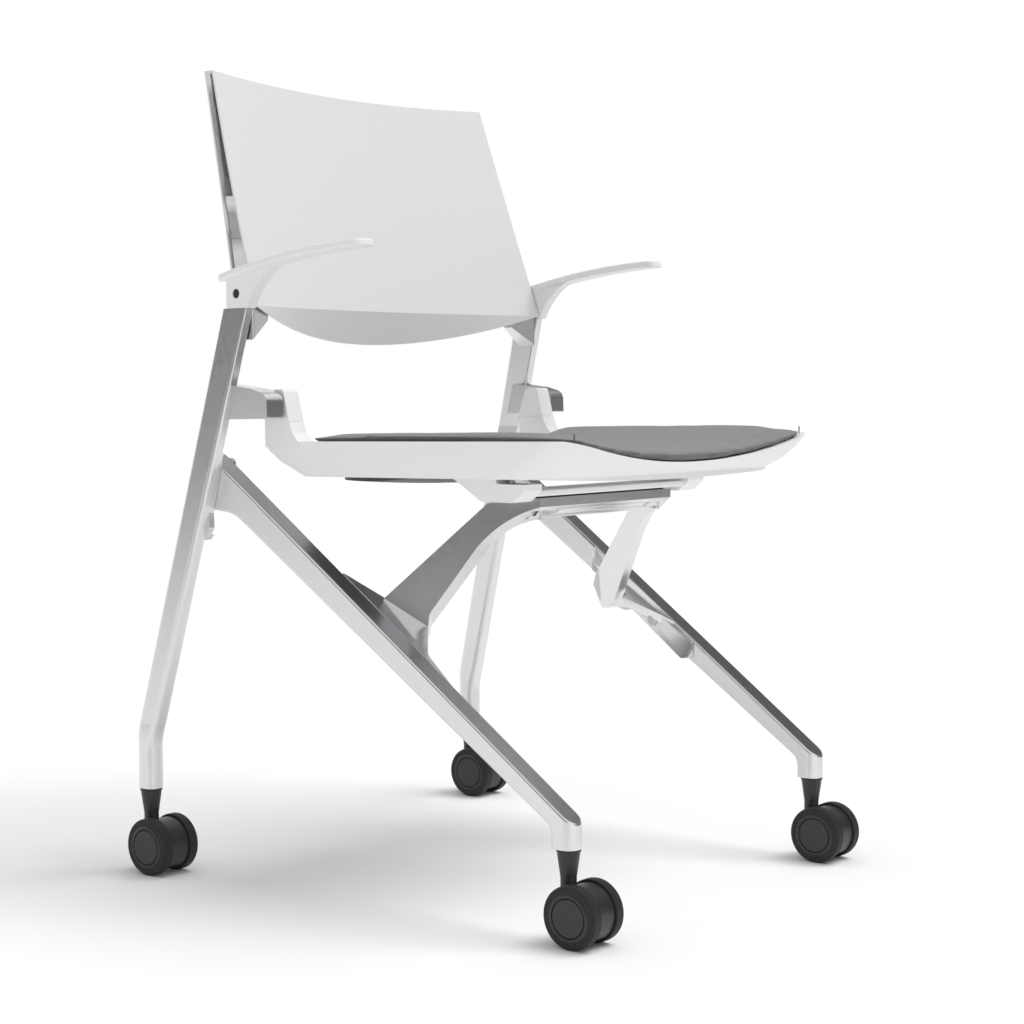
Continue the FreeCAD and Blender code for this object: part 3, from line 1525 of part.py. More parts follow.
def upright_spigot_room():
    """Room for the upright's spigot inside the arm bracket."""
    low = upright_top_z - 5.0
    high = upright_top_z + spigot_height + seam_gap
    half = spigot_depth / 2.0 + seam_gap
    corners = [(arm_screw_y - half, low), (arm_screw_y + half, low),
               (arm_screw_y + half, high, 3.0), (arm_screw_y - half, high, 3.0)]
    side = spigot_width / 2.0 + seam_gap
    return plate_x(corners, -upright_top_x - side, -upright_top_x + side)


def make_arm_screws():
    """Screws in the recessed holes of the arm brackets."""
    wall = -bracket_wall_x() - arm_bracket_width
    head = rod_x(arm_screw_head_diameter / 2.0, wall + arm_screw_recess - 2.0, wall + arm_screw_recess,
                 arm_screw_y, arm_screw_z)
    shank = rod_x(arm_screw_diameter / 2.0, wall + arm_screw_recess - 0.5,
                  -upright_top_x + spigot_width / 2.0 - 0.5, arm_screw_y, arm_screw_z)
    return both_sides([fused([head, shank])])


def caster_spots():
    """Name, stem x and stem y of each caster."""
    return [
        ("front_right", -front_stem_x, front_stem_y),
        ("front_left", front_stem_x, front_stem_y),
        ("rear_right", -rear_stem_x, rear_stem_y),
        ("rear_left", rear_stem_x, rear_stem_y),
    ]


def make_stems():
    """Steel stems held in the leg ends, one for each caster."""
    stems = []
    for _, x, y in caster_spots():
        low = caster_neck_top_z - stem_in_neck
        stem = rod_z(stem_diameter / 2.0, low, stem_top_z(), x, y)
        groove_low = leg_end_z + stem_in_leg * 0.75
        outer = rod_z(stem_diameter, groove_low, groove_low + stem_groove_width, x, y)
        inner = rod_z(stem_diameter / 2.0 - stem_groove_depth,
                      groove_low, groove_low + stem_groove_width, x, y)
        stem = stem.cut(outer.cut(inner))
        rims = [edge for edge in stem.Edges if abs(edge.BoundBox.ZMin - stem_top_z()) < 1e-3]
        stems.append(stem.makeChamfer(1.2, rims))
    return Part.makeCompound(stems)


def make_caster_body(x, y):
    """Black caster body: tapered neck over a round hub with a flat underside."""
    axle_y = y - caster_trail
    half = caster_hub_width / 2.0
    hub = rod_x(caster_hub_radius, x - half, x + half, axle_y, wheel_radius)
    floor = Part.makeBox(caster_hub_width + 2.0, caster_hub_radius * 2.0 + 2.0, caster_hub_floor_gap + 5.0,
                         FreeCAD.Vector(x - half - 1.0, axle_y - caster_hub_radius - 1.0, -5.0))
    neck = Part.makeCone(caster_neck_bottom_diameter / 2.0, caster_neck_top_diameter / 2.0,
                         caster_neck_top_z - caster_neck_bottom_z,
                         FreeCAD.Vector(x, y, caster_neck_bottom_z), AXIS_Z)
    root = rod_z(caster_neck_bottom_diameter / 2.0, wheel_radius + 12.0, caster_neck_bottom_z, x, y)
    body = fused([hub.cut(floor), neck, root])
    bore = rod_z(stem_diameter / 2.0 + running_fit, caster_neck_top_z - stem_in_neck - 1.0,
                 caster_neck_top_z + 1.0, x, y)
    axle_bore = rod_x(axle_diameter / 2.0 + snug_fit, x - half - 1.0, x + half + 1.0, axle_y, wheel_radius)
    return body.cut([bore, axle_bore])


def make_axle(x, y):
    """Steel axle through the caster body."""
    reach = caster_hub_width / 2.0 + wheel_side_gap + wheel_width - wheel_cap_recess - face_gap
    axle = rod_x(axle_diameter / 2.0, x - reach, x + reach, y - caster_trail, wheel_radius)
    return axle.makeChamfer(0.6, [edge for edge in axle.Edges if len(edge.Vertexes) == 1])


def turned(profile, x, y, side):
    """Revolve an (along, radius) profile about a wheel's axle, facing one side."""
    points = [FreeCAD.Vector(x + side * along, y - caster_trail, wheel_radius + radius)
              for along, radius in profile]
    edges = [Part.LineSegment(points[index], points[(index + 1) % len(points)]).toShape()
             for index in range(len(points))]
    face = Part.Face(Part.Wire(edges))
    return face.revolve(FreeCAD.Vector(x, y - caster_trail, wheel_radius), AXIS_X, 360.0)


def make_wheel(x, y, side):
    """Wheel with a hollow inner side, a rounded outer rim and a recess for its cap."""
    inside = caster_hub_width / 2.0 + wheel_side_gap
    outside = inside + wheel_width
    cap_radius = wheel_cap_diameter / 2.0 + snug_fit
    profile = [
        (inside, axle_diameter / 2.0 + running_fit),
        (outside - wheel_cap_recess, axle_diameter / 2.0 + running_fit),
        (outside - wheel_cap_recess, cap_radius),
        (outside, cap_radius),
    ]
    for index in range(5):
        angle = math.radians(90.0 * index / 4.0)
        profile.append((outside - wheel_rounding + wheel_rounding * math.cos(angle),
                        wheel_radius - wheel_rounding + wheel_rounding * math.sin(angle)))
    profile.extend([
        (inside + 1.0, wheel_radius),
        (inside, wheel_radius - 1.0),
        (inside, wheel_radius - wheel_rim_thickness),
        (inside + wheel_inside_depth, wheel_radius - wheel_rim_thickness - 0.5),
        (inside + wheel_inside_depth, wheel_hub_diameter / 2.0 + 0.5),
        (inside, wheel_hub_diameter / 2.0),
    ])
    return turned(profile, x, y, side)


def make_wheel_cap(x, y, side):
    """Flat cap that closes the outer side of a wheel."""
    start = caster_hub_width / 2.0 + wheel_side_gap + wheel_width - wheel_cap_recess
    thickness = wheel_cap_recess + wheel_cap_stand_out
    radius = wheel_cap_diameter / 2.0
    bevel = wheel_cap_stand_out
    profile = [
        (start, 0.0),
        (start + thickness, 0.0),
        (start + thickness, radius - bevel * 2.0),
        (start + thickness - bevel, radius),
        (start, radius),
    ]
    return turned(profile, x, y, side)


def save(name, shape):
    """Write one piece under its node name, moved to the chair's origin."""
    placed = shape.copy()
    placed.translate(FreeCAD.Vector(0, centre_shift, 0))
    placed.exportStep(os.path.join("parts", name + ".step"))


def frame_pieces():
    """Legs, bridge and their fasteners."""
    upright = make_upright()
    leg = make_front_leg()
    return {
        "upright_right": upright,
        "upright_left": mirrored(upright),
        "front_leg_right": leg,
        "front_leg_left": mirrored(leg),
        "leg_bolts": make_leg_bolts(),
        "bridge": make_bridge(),
        "bridge_foot_bolts": make_foot_bolts(),
        "beam_screws": make_beam_screws(),
        "beam_rest_strip": make_rest_strip(),
    }


def seat_pieces():
    """Everything that tips up with the seat, and the pins that it turns on."""
    cap = make_hinge_cap()
    pin = make_pivot_pin()
    bush = make_pivot_bush()
    return {
        "seat_shell": make_seat_shell(),
        "hinge_cap_right": cap,
        "hinge_cap_left": mirrored(cap),
        "seat_carrier": make_carrier(),
        "seat_board": make_seat_board(),
        "seat_pad": make_seat_pad(),
        "under_seat_panel": make_under_panel(),
        "seat_screws": make_seat_screws(),
        "pivot_pin_right": pin,
        "pivot_pin_left": mirrored(pin),
        "pivot_bush_right": bush,
        "pivot_bush_left": mirrored(bush),
    }


def back_pieces():
    """Back shells, brackets, arms and their screws."""
    bracket = make_back_bracket()
    arm = make_armrest()
    return {
        "back_front_shell": make_back_front(),
        "back_rear_shell": make_back_rear(),
        "back_bracket_right": bracket,
        "back_bracket_left": mirrored(bracket),
        "bracket_screws": make_bracket_screws(),
        "back_screws": make_back_screws(),
        "armrest_right": arm,
        "armrest_left": mirrored(arm),
        "arm_screws": make_arm_screws(),
    }


def caster_pieces():
    """The four casters."""
    pieces = {"caster_stems": make_stems()}
    for name, x, y in caster_spots():
        pieces["caster_body_" + name] = make_caster_body(x, y)
        pieces["caster_axle_" + name] = make_axle(x, y)
        outward = -1.0 if x < 0 else 1.0
        for label, side in (("outer", outward), ("inner", -outward)):
            pieces["wheel_" + name + "_" + label] = make_wheel(x, y, side)
            pieces["wheel_cap_" + name + "_" + label] = make_wheel_cap(x, y, side)
    return pieces


def main():
    """Build every piece and write it."""
    os.makedirs("parts", exist_ok=True)
    for group in (frame_pieces, seat_pieces, back_pieces, caster_pieces):
        for name, shape in group().items():
            save(name, shape)


if __name__ == "__main__":
    main()
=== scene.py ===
"""Looks of the nesting chair: studio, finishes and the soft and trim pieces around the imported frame."""

from __future__ import annotations

import json
import logging
import math
from dataclasses import dataclass, field
from enum import Enum

import bmesh
import bpy
from mathutils import Matrix, Vector

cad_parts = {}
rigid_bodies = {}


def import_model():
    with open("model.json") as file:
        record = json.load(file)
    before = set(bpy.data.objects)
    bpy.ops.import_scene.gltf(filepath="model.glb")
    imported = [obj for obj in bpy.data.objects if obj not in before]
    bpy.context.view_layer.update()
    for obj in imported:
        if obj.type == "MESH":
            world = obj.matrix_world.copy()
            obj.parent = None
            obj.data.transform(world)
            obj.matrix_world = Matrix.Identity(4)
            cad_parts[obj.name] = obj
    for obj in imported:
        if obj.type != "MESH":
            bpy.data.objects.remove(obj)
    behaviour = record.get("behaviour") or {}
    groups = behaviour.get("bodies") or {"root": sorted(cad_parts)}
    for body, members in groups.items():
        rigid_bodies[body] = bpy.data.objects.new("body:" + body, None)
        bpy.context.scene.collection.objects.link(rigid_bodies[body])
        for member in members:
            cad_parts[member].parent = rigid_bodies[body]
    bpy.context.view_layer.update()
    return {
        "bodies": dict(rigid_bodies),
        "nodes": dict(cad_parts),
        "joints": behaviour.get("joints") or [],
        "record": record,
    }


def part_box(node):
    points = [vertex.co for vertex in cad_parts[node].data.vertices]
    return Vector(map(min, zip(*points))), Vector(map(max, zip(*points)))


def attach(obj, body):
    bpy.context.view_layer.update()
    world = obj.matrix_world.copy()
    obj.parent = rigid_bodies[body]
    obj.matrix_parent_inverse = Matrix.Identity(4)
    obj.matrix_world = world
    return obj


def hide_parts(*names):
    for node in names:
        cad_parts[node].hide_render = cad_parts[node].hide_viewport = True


LOG = logging.getLogger("nesting_chair")
CASTERS = ("front_right", "front_left", "rear_right", "rear_left")
JOIN_NEW = 1e-6
JOIN_NODE = 1e-5
Colour = tuple[float, float, float]


class Side(Enum):
    """The two sides of the chair, as the sign of X."""

    RIGHT = -1.0
    LEFT = 1.0

    @property
    def label(self) -> str:
        """Name of the side in node names."""
        return self.name.lower()


class Body(Enum):
    """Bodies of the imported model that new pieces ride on."""

    FRAME = "frame"
    SEAT = "seat"


def socket_value(node: bpy.types.Node, name: str, value: object) -> None:
    """Set an unlinked input of a node.

    Args:
        node: the node that owns the input.
        name: the input's name.
        value: the number, colour or vector to set.
    """
    node.inputs[name].default_value = value


def grey(level: float) -> tuple[float, float, float, float]:
    """Make an opaque neutral colour.

    Args:
        level: the colour's level, 0 for black and 1 for white.

    Returns:
        The colour.
    """
    return (level, level, level, 1.0)


def operator(nodes: bpy.types.Nodes, operation: str, kind: str = "ShaderNodeMath") -> bpy.types.Node:
    """Add a node that calculates.

    Args:
        nodes: the nodes of a material or group.
        operation: what it calculates.
        kind: the node's type, for numbers or for vectors.

    Returns:
        The new node.
    """
    node = nodes.new(kind)
    node.operation = operation
    return node


def new_material(name: str) -> tuple[bpy.types.Material, bpy.types.Node]:
    """Start a material.

    Args:
        name: the material's name.

    Returns:
        The material and its shader node.
    """
    material = bpy.data.materials.new(name)
    material.use_nodes = True
    return material, material.node_tree.nodes["Principled BSDF"]


def add_bump(material: bpy.types.Material, height: bpy.types.NodeSocket, depth: float) -> None:
    """Raise a material's surface.

    Args:
        material: the material.
        height: the socket that holds the height, from 0 to 1.
        depth: how far the full height stands out, in metres.
    """
    nodes, links = material.node_tree.nodes, material.node_tree.links
    bump = nodes.new("ShaderNodeBump")
    socket_value(bump, "Distance", depth)
    links.new(height, bump.inputs["Height"])
    links.new(bump.outputs["Normal"], nodes["Principled BSDF"].inputs["Normal"])


class NodeGroups:
    """Shared shader effects, each built once."""

    def __init__(self) -> None:
        """Start with no groups built."""
        self._made: dict[str, bpy.types.NodeTree] = {}

    def _start(self, name: str, inputs: dict[str, float], outputs: tuple[str, ...]
               ) -> tuple[bpy.types.NodeTree, bpy.types.Node, bpy.types.Node]:
        """Make an empty group with named number inputs and outputs.

        Args:
            name: the group's name.
            inputs: input names with their usual values.
            outputs: output names.

        Returns:
            The new node group, its input node and its output node.
        """
        tree = bpy.data.node_groups.new(name, "ShaderNodeTree")
        for label, value in inputs.items():
            made = tree.interface.new_socket(label, in_out="INPUT", socket_type="NodeSocketFloat")
            made.default_value = value
        for label in outputs:
            tree.interface.new_socket(label, in_out="OUTPUT", socket_type="NodeSocketFloat")
        self._made[name] = tree
        return tree, tree.nodes.new("NodeGroupInput"), tree.nodes.new("NodeGroupOutput")

    def mottle(self) -> bpy.types.NodeTree:
        """Build or fetch the slow tone variation of a cast or moulded surface.

        Returns:
            A group whose Mask runs around zero over the piece.
        """
        if "slow_mottle" in self._made:
            return self._made["slow_mottle"]
        tree, given, result = self._start("slow_mottle", {"Scale": 9.0, "Amount": 0.05}, ("Mask",))
        nodes, links = tree.nodes, tree.links
        place = nodes.new("ShaderNodeTexCoord")
        noise = nodes.new("ShaderNodeTexNoise")
        socket_value(noise, "Detail", 4.0)
        centred = operator(nodes, "SUBTRACT")
        centred.inputs[1].default_value = 0.5
        scaled = operator(nodes, "MULTIPLY")
        links.new(place.outputs["Object"], noise.inputs["Vector"])
        links.new(given.outputs["Scale"], noise.inputs["Scale"])
        links.new(noise.outputs["Fac"], centred.inputs[0])
        links.new(centred.outputs[0], scaled.inputs[0])
        links.new(given.outputs["Amount"], scaled.inputs[1])
        links.new(scaled.outputs[0], result.inputs["Mask"])
        return tree

    def grain(self) -> bpy.types.NodeTree:
        """Build or fetch the fine surface grain of castings and mouldings.

        Returns:
            A group with a fine Height and a slower Fleck mask.
        """
        if "fine_grain" in self._made:
            return self._made["fine_grain"]
        tree, given, result = self._start("fine_grain", {"Scale": 900.0, "Stretch": 1.0}, ("Height", "Fleck"))
        nodes, links = tree.nodes, tree.links
        place = nodes.new("ShaderNodeTexCoord")
        joined = nodes.new("ShaderNodeCombineXYZ")
        joined.inputs[0].default_value = 1.0
        joined.inputs[1].default_value = 1.0
        stretched = operator(nodes, "MULTIPLY", "ShaderNodeVectorMath")
        fine = nodes.new("ShaderNodeTexNoise")
        socket_value(fine, "Detail", 3.0)
        fleck = nodes.new("ShaderNodeTexNoise")
        socket_value(fleck, "Scale", 160.0)
        socket_value(fleck, "Detail", 2.0)
        links.new(given.outputs["Stretch"], joined.inputs[2])
        links.new(place.outputs["Object"], stretched.inputs[0])
        links.new(joined.outputs[0], stretched.inputs[1])
        links.new(stretched.outputs[0], fine.inputs["Vector"])
        links.new(given.outputs["Scale"], fine.inputs["Scale"])
        links.new(place.outputs["Object"], fleck.inputs["Vector"])
        links.new(fine.outputs["Fac"], result.inputs["Height"])
        links.new(fleck.outputs["Fac"], result.inputs["Fleck"])
        return tree

    def upward(self) -> bpy.types.NodeTree:
        """Build or fetch the mask of the faces that look up.

        Returns:
            A group whose Mask goes from 0 to 1 while the upward part of the face's direction goes
            from Low to High.
        """
        if "upward_mask" in self._made:
            return self._made["upward_mask"]
        tree, given, result = self._start("upward_mask", {"Low": 0.5, "High": 1.0}, ("Mask",))
        nodes, links = tree.nodes, tree.links
        facing = nodes.new("ShaderNodeTexCoord")
        parted = nodes.new("ShaderNodeSeparateXYZ")
        spread = nodes.new("ShaderNodeMapRange")
        links.new(facing.outputs["Normal"], parted.inputs[0])
        links.new(parted.outputs["Z"], spread.inputs["Value"])
        links.new(given.outputs["Low"], spread.inputs["From Min"])
        links.new(given.outputs["High"], spread.inputs["From Max"])
        links.new(spread.outputs[0], result.inputs["Mask"])
        return tree

    def blend_upward(self, tree: bpy.types.NodeTree, span: tuple[float, float], side: Colour,
                     top: Colour) -> bpy.types.NodeSocket:
        """Blend from one colour to another on the faces that look up.

        Args:
            tree: the material's nodes.
            span: the upward part of the direction at which the blend starts and ends.
            side: the colour of the other faces.
            top: the colour of the faces that look up.

        Returns:
            The socket that holds the colour.
        """
        mask = tree.nodes.new("ShaderNodeGroup")
        mask.node_tree = self.upward()
        socket_value(mask, "Low", span[0])
        socket_value(mask, "High", span[1])
        blend = tree.nodes.new("ShaderNodeMix")
        blend.data_type = "RGBA"
        blend.inputs[6].default_value = (*side, 1.0)
        blend.inputs[7].default_value = (*top, 1.0)
        tree.links.new(mask.outputs["Mask"], blend.inputs[0])
        return blend.outputs[2]

    def weave(self) -> bpy.types.NodeTree:
        """Build or fetch the plain weave of the seat cloth.

        Returns:
            A group with the thread Height and a per-thread Tone.
        """
        if "seat_weave" in self._made:
            return self._made["seat_weave"]
        tree, given, result = self._start("seat_weave", {"Pitch": 0.0016}, ("Height", "Tone"))
        nodes, links = tree.nodes, tree.links
        place = nodes.new("ShaderNodeTexCoord")
        parted = nodes.new("ShaderNodeSeparateXYZ")
        links.new(place.outputs["Object"], parted.inputs[0])

        def thread(axis: int) -> bpy.types.NodeSocket:
            """Round cross-section of the threads that lie across one axis.

            Args:
                axis: 0 for X, 1 for Y.

            Returns:
                The socket that holds the thread's height.
            """
            over = operator(nodes, "DIVIDE")
            turned = operator(nodes, "MULTIPLY")
            turned.inputs[1].default_value = math.pi
            wave = operator(nodes, "SINE")
            size = operator(nodes, "ABSOLUTE")
            links.new(parted.outputs[axis], over.inputs[0])
            links.new(given.outputs["Pitch"], over.inputs[1])
            links.new(over.outputs[0], turned.inputs[0])
            links.new(turned.outputs[0], wave.inputs[0])
            links.new(wave.outputs[0], size.inputs[0])
            return size.outputs[0]

        across = thread(0)
        along = thread(1)
        higher = operator(nodes, "MULTIPLY")
        links.new(across, higher.inputs[0])
        links.new(along, higher.inputs[1])
        noise = nodes.new("ShaderNodeTexNoise")
        socket_value(noise, "Scale", 420.0)
        socket_value(noise, "Detail", 2.0)
        links.new(place.outputs["Object"], noise.inputs["Vector"])
        links.new(higher.outputs[0], result.inputs["Height"])
        links.new(noise.outputs["Fac"], result.inputs["Tone"])
        return tree


@dataclass(frozen=True)
class Finish:
    """A finish whose colour, gloss and grain come from the shared effects, with an optional painted
    reflection that darkens the faces that look up.
    """

    name: str
    colour: Colour
    roughness: float
    metallic: float = 0.0
    coat: float = 0.0
    specular: float = 0.5
    sheen: float = 0.0
    mottle_scale: float = 9.0
    mottle: float = 0.04
    grain_scale: float = 900.0
    grain_stretch: float = 1.0
    grain_depth: float = 0.00004
    gloss_spread: float = 0.06
    painted_top_reflection: Colour | None = None
    top_span: tuple[float, float] = (0.55, 0.75)
    coat_roughness: float = 0.12

    def build(self, groups: NodeGroups) -> bpy.types.Material:
        """Make the material.

        Args:
            groups: the shared effects.

        Returns:
            The new material.
        """
        material, shader = new_material(self.name)
        nodes, links = material.node_tree.nodes, material.node_tree.links
        socket_value(shader, "Metallic", self.metallic)
        socket_value(shader, "Coat Weight", self.coat)
        socket_value(shader, "Coat Roughness", self.coat_roughness)
        socket_value(shader, "Specular IOR Level", self.specular)
        socket_value(shader, "Sheen Weight", self.sheen)
        mottle = nodes.new("ShaderNodeGroup")
        mottle.node_tree = groups.mottle()
        socket_value(mottle, "Scale", self.mottle_scale)
        socket_value(mottle, "Amount", self.mottle)
        lightened = operator(nodes, "ADD")
        lightened.inputs[1].default_value = 1.0
        tone = operator(nodes, "SCALE", "ShaderNodeVectorMath")
        tone.inputs[0].default_value = self.colour
        # Painted reflection: the faces that look up take a darker colour, standing in for the dark seat
        # underside mirrored in them.
        if self.painted_top_reflection:
            tinted = groups.blend_upward(material.node_tree, self.top_span, self.colour, self.painted_top_reflection)
            links.new(tinted, tone.inputs[0])
        links.new(mottle.outputs["Mask"], lightened.inputs[0])
        links.new(lightened.outputs[0], tone.inputs["Scale"])
        links.new(tone.outputs[0], shader.inputs["Base Color"])
        grain = nodes.new("ShaderNodeGroup")
        grain.node_tree = groups.grain()
        socket_value(grain, "Scale", self.grain_scale)
        socket_value(grain, "Stretch", self.grain_stretch)
        spread = nodes.new("ShaderNodeMapRange")
        socket_value(spread, "To Min", max(0.02, self.roughness - self.gloss_spread))
        socket_value(spread, "To Max", min(1.0, self.roughness + self.gloss_spread))
        links.new(grain.outputs["Fleck"], spread.inputs["Value"])
        links.new(spread.outputs[0], shader.inputs["Roughness"])
        add_bump(material, grain.outputs["Height"], self.grain_depth)
        return material


@dataclass(frozen=True)
class SeatCloth:
    """Dark grey woven cloth of the cushion, paler on the faces that look up than on its band, with painted
    shade in the gaps between its threads.
    """

    name: str
    top: Colour
    band: Colour
    pitch: float = 0.0016
    roughness: float = 0.88
    top_span: tuple[float, float] = (0.45, 0.97)
    thread_tones: tuple[float, float] = (0.80, 1.20)
    gap_painted_shade: tuple[float, float] = (0.72, 1.08)
    thread_depth: float = 0.00025

    def build(self, groups: NodeGroups) -> bpy.types.Material:
        """Make the cloth.

        Args:
            groups: the shared effects.

        Returns:
            The new material.
        """
        material, shader = new_material(self.name)
        nodes, links = material.node_tree.nodes, material.node_tree.links
        socket_value(shader, "Roughness", self.roughness)
        socket_value(shader, "Specular IOR Level", 0.25)
        socket_value(shader, "Sheen Weight", 0.35)
        socket_value(shader, "Sheen Roughness", 0.5)
        weave = nodes.new("ShaderNodeGroup")
        weave.node_tree = groups.weave()
        socket_value(weave, "Pitch", self.pitch)
        faded = groups.blend_upward(material.node_tree, self.top_span, self.band, self.top)
        tone = nodes.new("ShaderNodeMapRange")
        socket_value(tone, "To Min", self.thread_tones[0])
        socket_value(tone, "To Max", self.thread_tones[1])
        links.new(weave.outputs["Tone"], tone.inputs["Value"])
        # Painted shade: the colour darkens in the low gaps between the threads, following the same height as
        # the bump.
        depth = nodes.new("ShaderNodeMapRange")
        socket_value(depth, "To Min", self.gap_painted_shade[0])
        socket_value(depth, "To Max", self.gap_painted_shade[1])
        links.new(weave.outputs["Height"], depth.inputs["Value"])
        both = operator(nodes, "MULTIPLY")
        links.new(tone.outputs[0], both.inputs[0])
        links.new(depth.outputs[0], both.inputs[1])
        shaded = operator(nodes, "SCALE", "ShaderNodeVectorMath")
        links.new(faded, shaded.inputs[0])
        links.new(both.outputs[0], shaded.inputs["Scale"])
        links.new(shaded.outputs[0], shader.inputs["Base Color"])
        add_bump(material, weave.outputs["Height"], self.thread_depth)
        return material


@dataclass(frozen=True)
class VeneerPly:
    """Pale plywood of the seat board, with its plies and grain."""

    name: str = "seat_board_plywood"
    dark: Colour = (0.42, 0.29, 0.17)
    pale: Colour = (0.68, 0.53, 0.36)
    stretch: tuple[float, float, float] = (60.0, 4.0, 700.0)
    grain_depth: float = 0.0001

    def build(self) -> bpy.types.Material:
        """Make the plywood.

        Returns:
            The new material.
        """
        material, shader = new_material(self.name)
        nodes, links = material.node_tree.nodes, material.node_tree.links
        socket_value(shader, "Roughness", 0.6)
        place = nodes.new("ShaderNodeTexCoord")
        stretch = nodes.new("ShaderNodeMapping")
        socket_value(stretch, "Scale", self.stretch)
        grain = nodes.new("ShaderNodeTexNoise")
        socket_value(grain, "Scale", 1.0)
        socket_value(grain, "Detail", 5.0)
        colours = nodes.new("ShaderNodeValToRGB")
        for element, colour in zip(colours.color_ramp.elements, (self.dark, self.pale)):
            element.color = (*colour, 1.0)
        links.new(place.outputs["Object"], stretch.inputs["Vector"])
        links.new(stretch.outputs[0], grain.inputs["Vector"])
        links.new(grain.outputs["Fac"], colours.inputs["Fac"])
        links.new(colours.outputs["Color"], shader.inputs["Base Color"])
        add_bump(material, grain.outputs["Fac"], self.grain_depth)
        return material


@dataclass
class Palette:
    """Every finish of the chair, built once."""

    groups: NodeGroups = field(default_factory=NodeGroups)
    cast: bpy.types.Material = field(init=False)
    leg: bpy.types.Material = field(init=False)
    white: bpy.types.Material = field(init=False)
    back: bpy.types.Material = field(init=False)
    cloth: bpy.types.Material = field(init=False)
    thread: bpy.types.Material = field(init=False)
    ply: bpy.types.Material = field(init=False)
    panel: bpy.types.Material = field(init=False)
    rubber: bpy.types.Material = field(init=False)
    bearing: bpy.types.Material = field(init=False)
    caster: bpy.types.Material = field(init=False)
    tread: bpy.types.Material = field(init=False)
    steel: bpy.types.Material = field(init=False)
    dark_steel: bpy.types.Material = field(init=False)

    def __post_init__(self) -> None:
        """Build the materials."""
        made = self.groups
        self.cast = Finish("satin_cast_aluminium", (0.76, 0.765, 0.775), 0.30, metallic=1.0,
                           mottle_scale=6.0, mottle=0.05, grain_scale=700.0,
                           grain_depth=0.00003, gloss_spread=0.05).build(made)
        # Front legs: the same cast metal, with a painted dark reflection on the faces that look up.
        self.leg = Finish("satin_cast_leg_painted_dark_top", (0.76, 0.765, 0.775), 0.30, metallic=1.0,
                          mottle_scale=6.0, mottle=0.05, grain_scale=700.0, grain_depth=0.00003,
                          gloss_spread=0.05, painted_top_reflection=(0.36, 0.365, 0.375)).build(made)
        self.white = Finish("white_moulded_seat_and_arms", (0.86, 0.86, 0.855), 0.42, coat=0.06,
                            mottle=0.015, grain_scale=1400.0, grain_depth=0.00003).build(made)
        # Painted shade: the back is the same white plastic as the seat, set darker to offset the sun that
        # falls full on it.
        self.back = Finish("white_moulded_back_painted_shade", (0.74, 0.745, 0.75), 0.5, coat=0.03,
                           mottle=0.015, grain_scale=1400.0, grain_depth=0.00004).build(made)
        self.cloth = SeatCloth("grey_seat_cloth", (0.250, 0.251, 0.255), (0.115, 0.116, 0.120)).build(made)
        self.thread = Finish("seat_thread", (0.045, 0.045, 0.048), 0.8, sheen=0.2, mottle=0.1,
                             grain_scale=2500.0, grain_depth=0.0001).build(made)
        self.ply = VeneerPly().build()
        self.panel = Finish("dark_under_panel", (0.055, 0.056, 0.060), 0.55, mottle=0.08,
                            grain_scale=1100.0, grain_depth=0.0001).build(made)
        # Black strip on the beam's top, where the dark line between the seat carrier and the beam shows.
        self.rubber = Finish("black_beam_rubber", (0.012, 0.012, 0.013), 0.7, specular=0.3,
                             mottle=0.1, grain_depth=0.00008).build(made)
        self.bearing = Finish("pale_bearing_plastic", (0.62, 0.62, 0.59), 0.35, mottle=0.03).build(made)
        self.caster = Finish("black_caster_plastic", (0.022, 0.022, 0.024), 0.38, mottle=0.15,
                             grain_scale=1300.0, grain_depth=0.00008).build(made)
        self.tread = Finish("black_wheel_tread", (0.020, 0.020, 0.021), 0.62, specular=0.35,
                            mottle=0.2, mottle_scale=40.0, grain_scale=1000.0,
                            grain_depth=0.00012).build(made)
        self.steel = Finish("zinc_plated_steel", (0.52, 0.53, 0.55), 0.32, metallic=1.0, mottle=0.08,
                            mottle_scale=80.0, grain_scale=1500.0).build(made)
        self.dark_steel = Finish("blackened_screw_steel", (0.05, 0.05, 0.052), 0.45, metallic=0.6,
                                 mottle=0.1, mottle_scale=80.0).build(made)


def dress(node: bpy.types.Object, material: bpy.types.Material) -> None:
    """Give every slot of a carried-over node one finish.

    Args:
        node: the node's object.
        material: the finish.
    """
    if not node.data.materials:
        node.data.materials.append(material)
    for slot in node.material_slots:
        slot.material = material


def linked(name: str, form: bmesh.types.BMesh) -> bpy.types.Object:
    """Turn a bmesh into an object of the scene.

    Args:
        name: the name of the object and of its mesh.
        form: its shape, which is freed.

    Returns:
        The new object.
    """
    mesh = bpy.data.meshes.new(name)
    form.to_mesh(mesh)
    form.free()
    made = bpy.data.objects.new(name, mesh)
    bpy.context.scene.collection.objects.link(made)
    return made


def new_piece(name: str, form: bmesh.types.BMesh, material: bpy.types.Material) -> bpy.types.Object:
    """Turn a finished bmesh into a piece of the scene.

    Args:
        name: the piece's name.
        form: its shape, which is freed.
        material: its finish.

    Returns:
        The new object.
    """
    bmesh.ops.remove_doubles(form, verts=form.verts, dist=JOIN_NEW)
    bmesh.ops.recalc_face_normals(form, faces=form.faces)
    made = linked(name, form)
    made.data.materials.append(material)
    for face in made.data.polygons:
        face.use_smooth = True
    return made


def merged_copy(source: bpy.types.Object) -> bmesh.types.BMesh:
    """Copy a carried-over node's loose triangles into a bmesh with its corners joined.

    Args:
        source: the node's object, which stays as it is.

    Returns:
        The joined form.
    """
    form = bmesh.new()
    form.from_mesh(source.data)
    bmesh.ops.remove_doubles(form, verts=form.verts, dist=JOIN_NODE)
    return form


